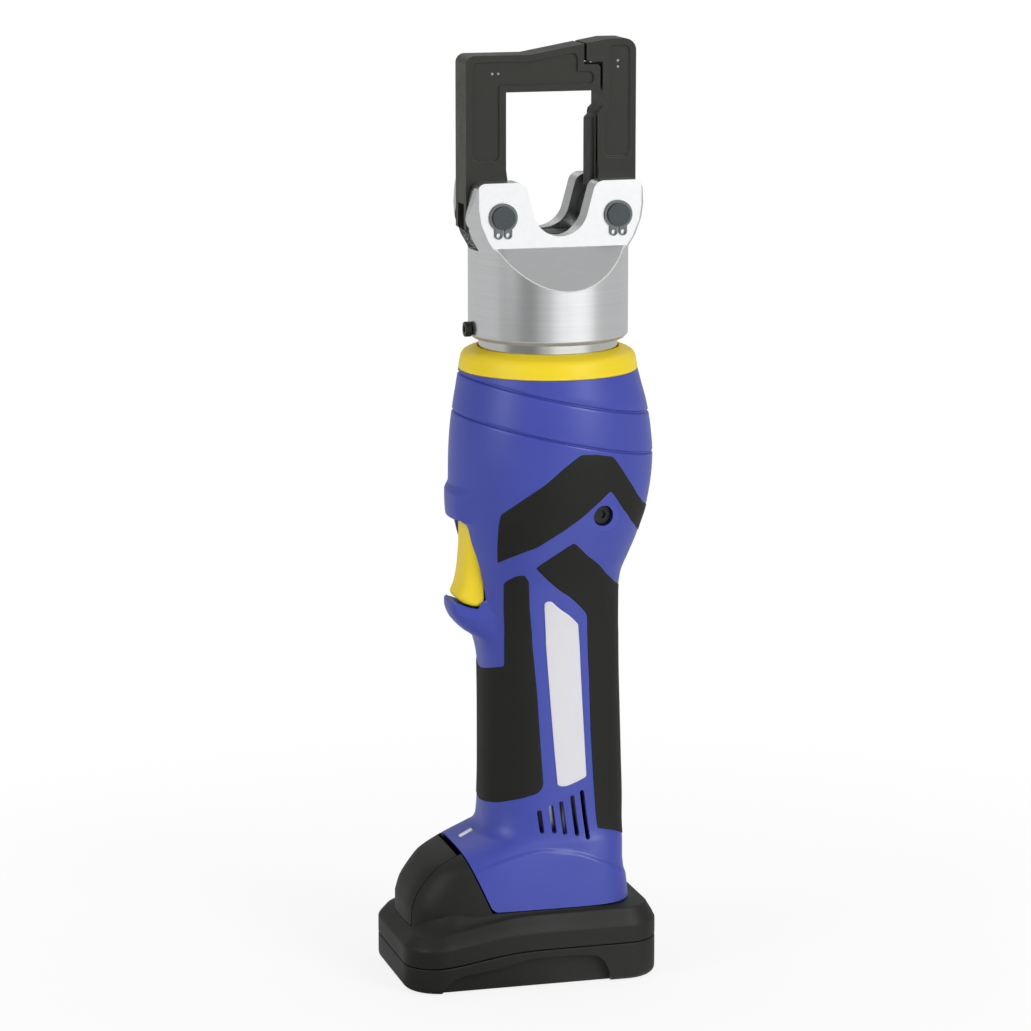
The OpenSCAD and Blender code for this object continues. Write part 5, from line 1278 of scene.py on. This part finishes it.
tree.links.new(pick(tree, glossy, 1.0, mirrored_level), white.inputs["Strength"])
both = tree.nodes.new("ShaderNodeMixShader")
tree.links.new(amount, both.inputs["Fac"])
tree.links.new(bsdf.outputs["BSDF"], both.inputs[1])
tree.links.new(white.outputs["Emission"], both.inputs[2])
tree.links.new(both.outputs["Shader"], tree.nodes["Material Output"].inputs["Surface"])
floor_mesh.materials.append(mat)


AIM = (0, 0, 0.2)


def area(name, place, size, power):
    """A soft rectangular lamp that points at the object."""
    light = bpy.data.lights.new(name, "AREA")
    light.shape = "RECTANGLE"
    light.size, light.size_y = size
    light.energy = power
    obj = bpy.data.objects.new(name, light)
    obj.location = place
    obj.rotation_euler = (Vector(AIM) - Vector(place)).to_track_quat("-Z", "Y").to_euler()
    bpy.context.scene.collection.objects.link(obj)


area("key", (0.98, -1.52, 1.05), (0.7, 1.0), 18)
area("fill", (-1.5, -0.55, 0.8), (0.7, 1.0), 8)
area("top", (0.3, 0.8, 1.5), (2.0, 2.0), 6)

world = bpy.data.worlds.new("studio")
world.use_nodes = True
bpy.context.scene.world = world
tree = world.node_tree
background = tree.nodes["Background"]
place = tree.nodes.new("ShaderNodeTexCoord").outputs
soft_box = lobe(tree, place["Generated"], SOFT_BOX, 0.84, 0.97, 0.6)
seen, glossy = seen_rays(tree)
mirrored_level = math_node(tree, "ADD", WORLD_MIRRORED, soft_box)
level = pick(tree, seen, pick(tree, glossy, WORLD_LIGHT, mirrored_level), 1.0)
tree.links.new(level, background.inputs["Strength"])
background.inputs["Color"].default_value = (1, 1, 1, 1)

SENSOR = 36
FOCAL_PX = 3950
FRAME_PX = 1031
CAMERA_PLACE = (-0.4266, -1.4903, 0.4909)
CAMERA_TILT = 78.84
CAMERA_TURN = -15.5

camera_data = bpy.data.cameras.new("camera")
camera_data.sensor_width = SENSOR
camera_data.lens = SENSOR * FOCAL_PX / FRAME_PX
camera_data.clip_end = 100
camera = bpy.data.objects.new("camera", camera_data)
camera.location = CAMERA_PLACE
camera.rotation_euler = (math.radians(CAMERA_TILT), 0, math.radians(CAMERA_TURN))
bpy.context.scene.collection.objects.link(camera)
bpy.context.scene.camera = camera
bpy.context.scene.view_settings.view_transform = "Standard"
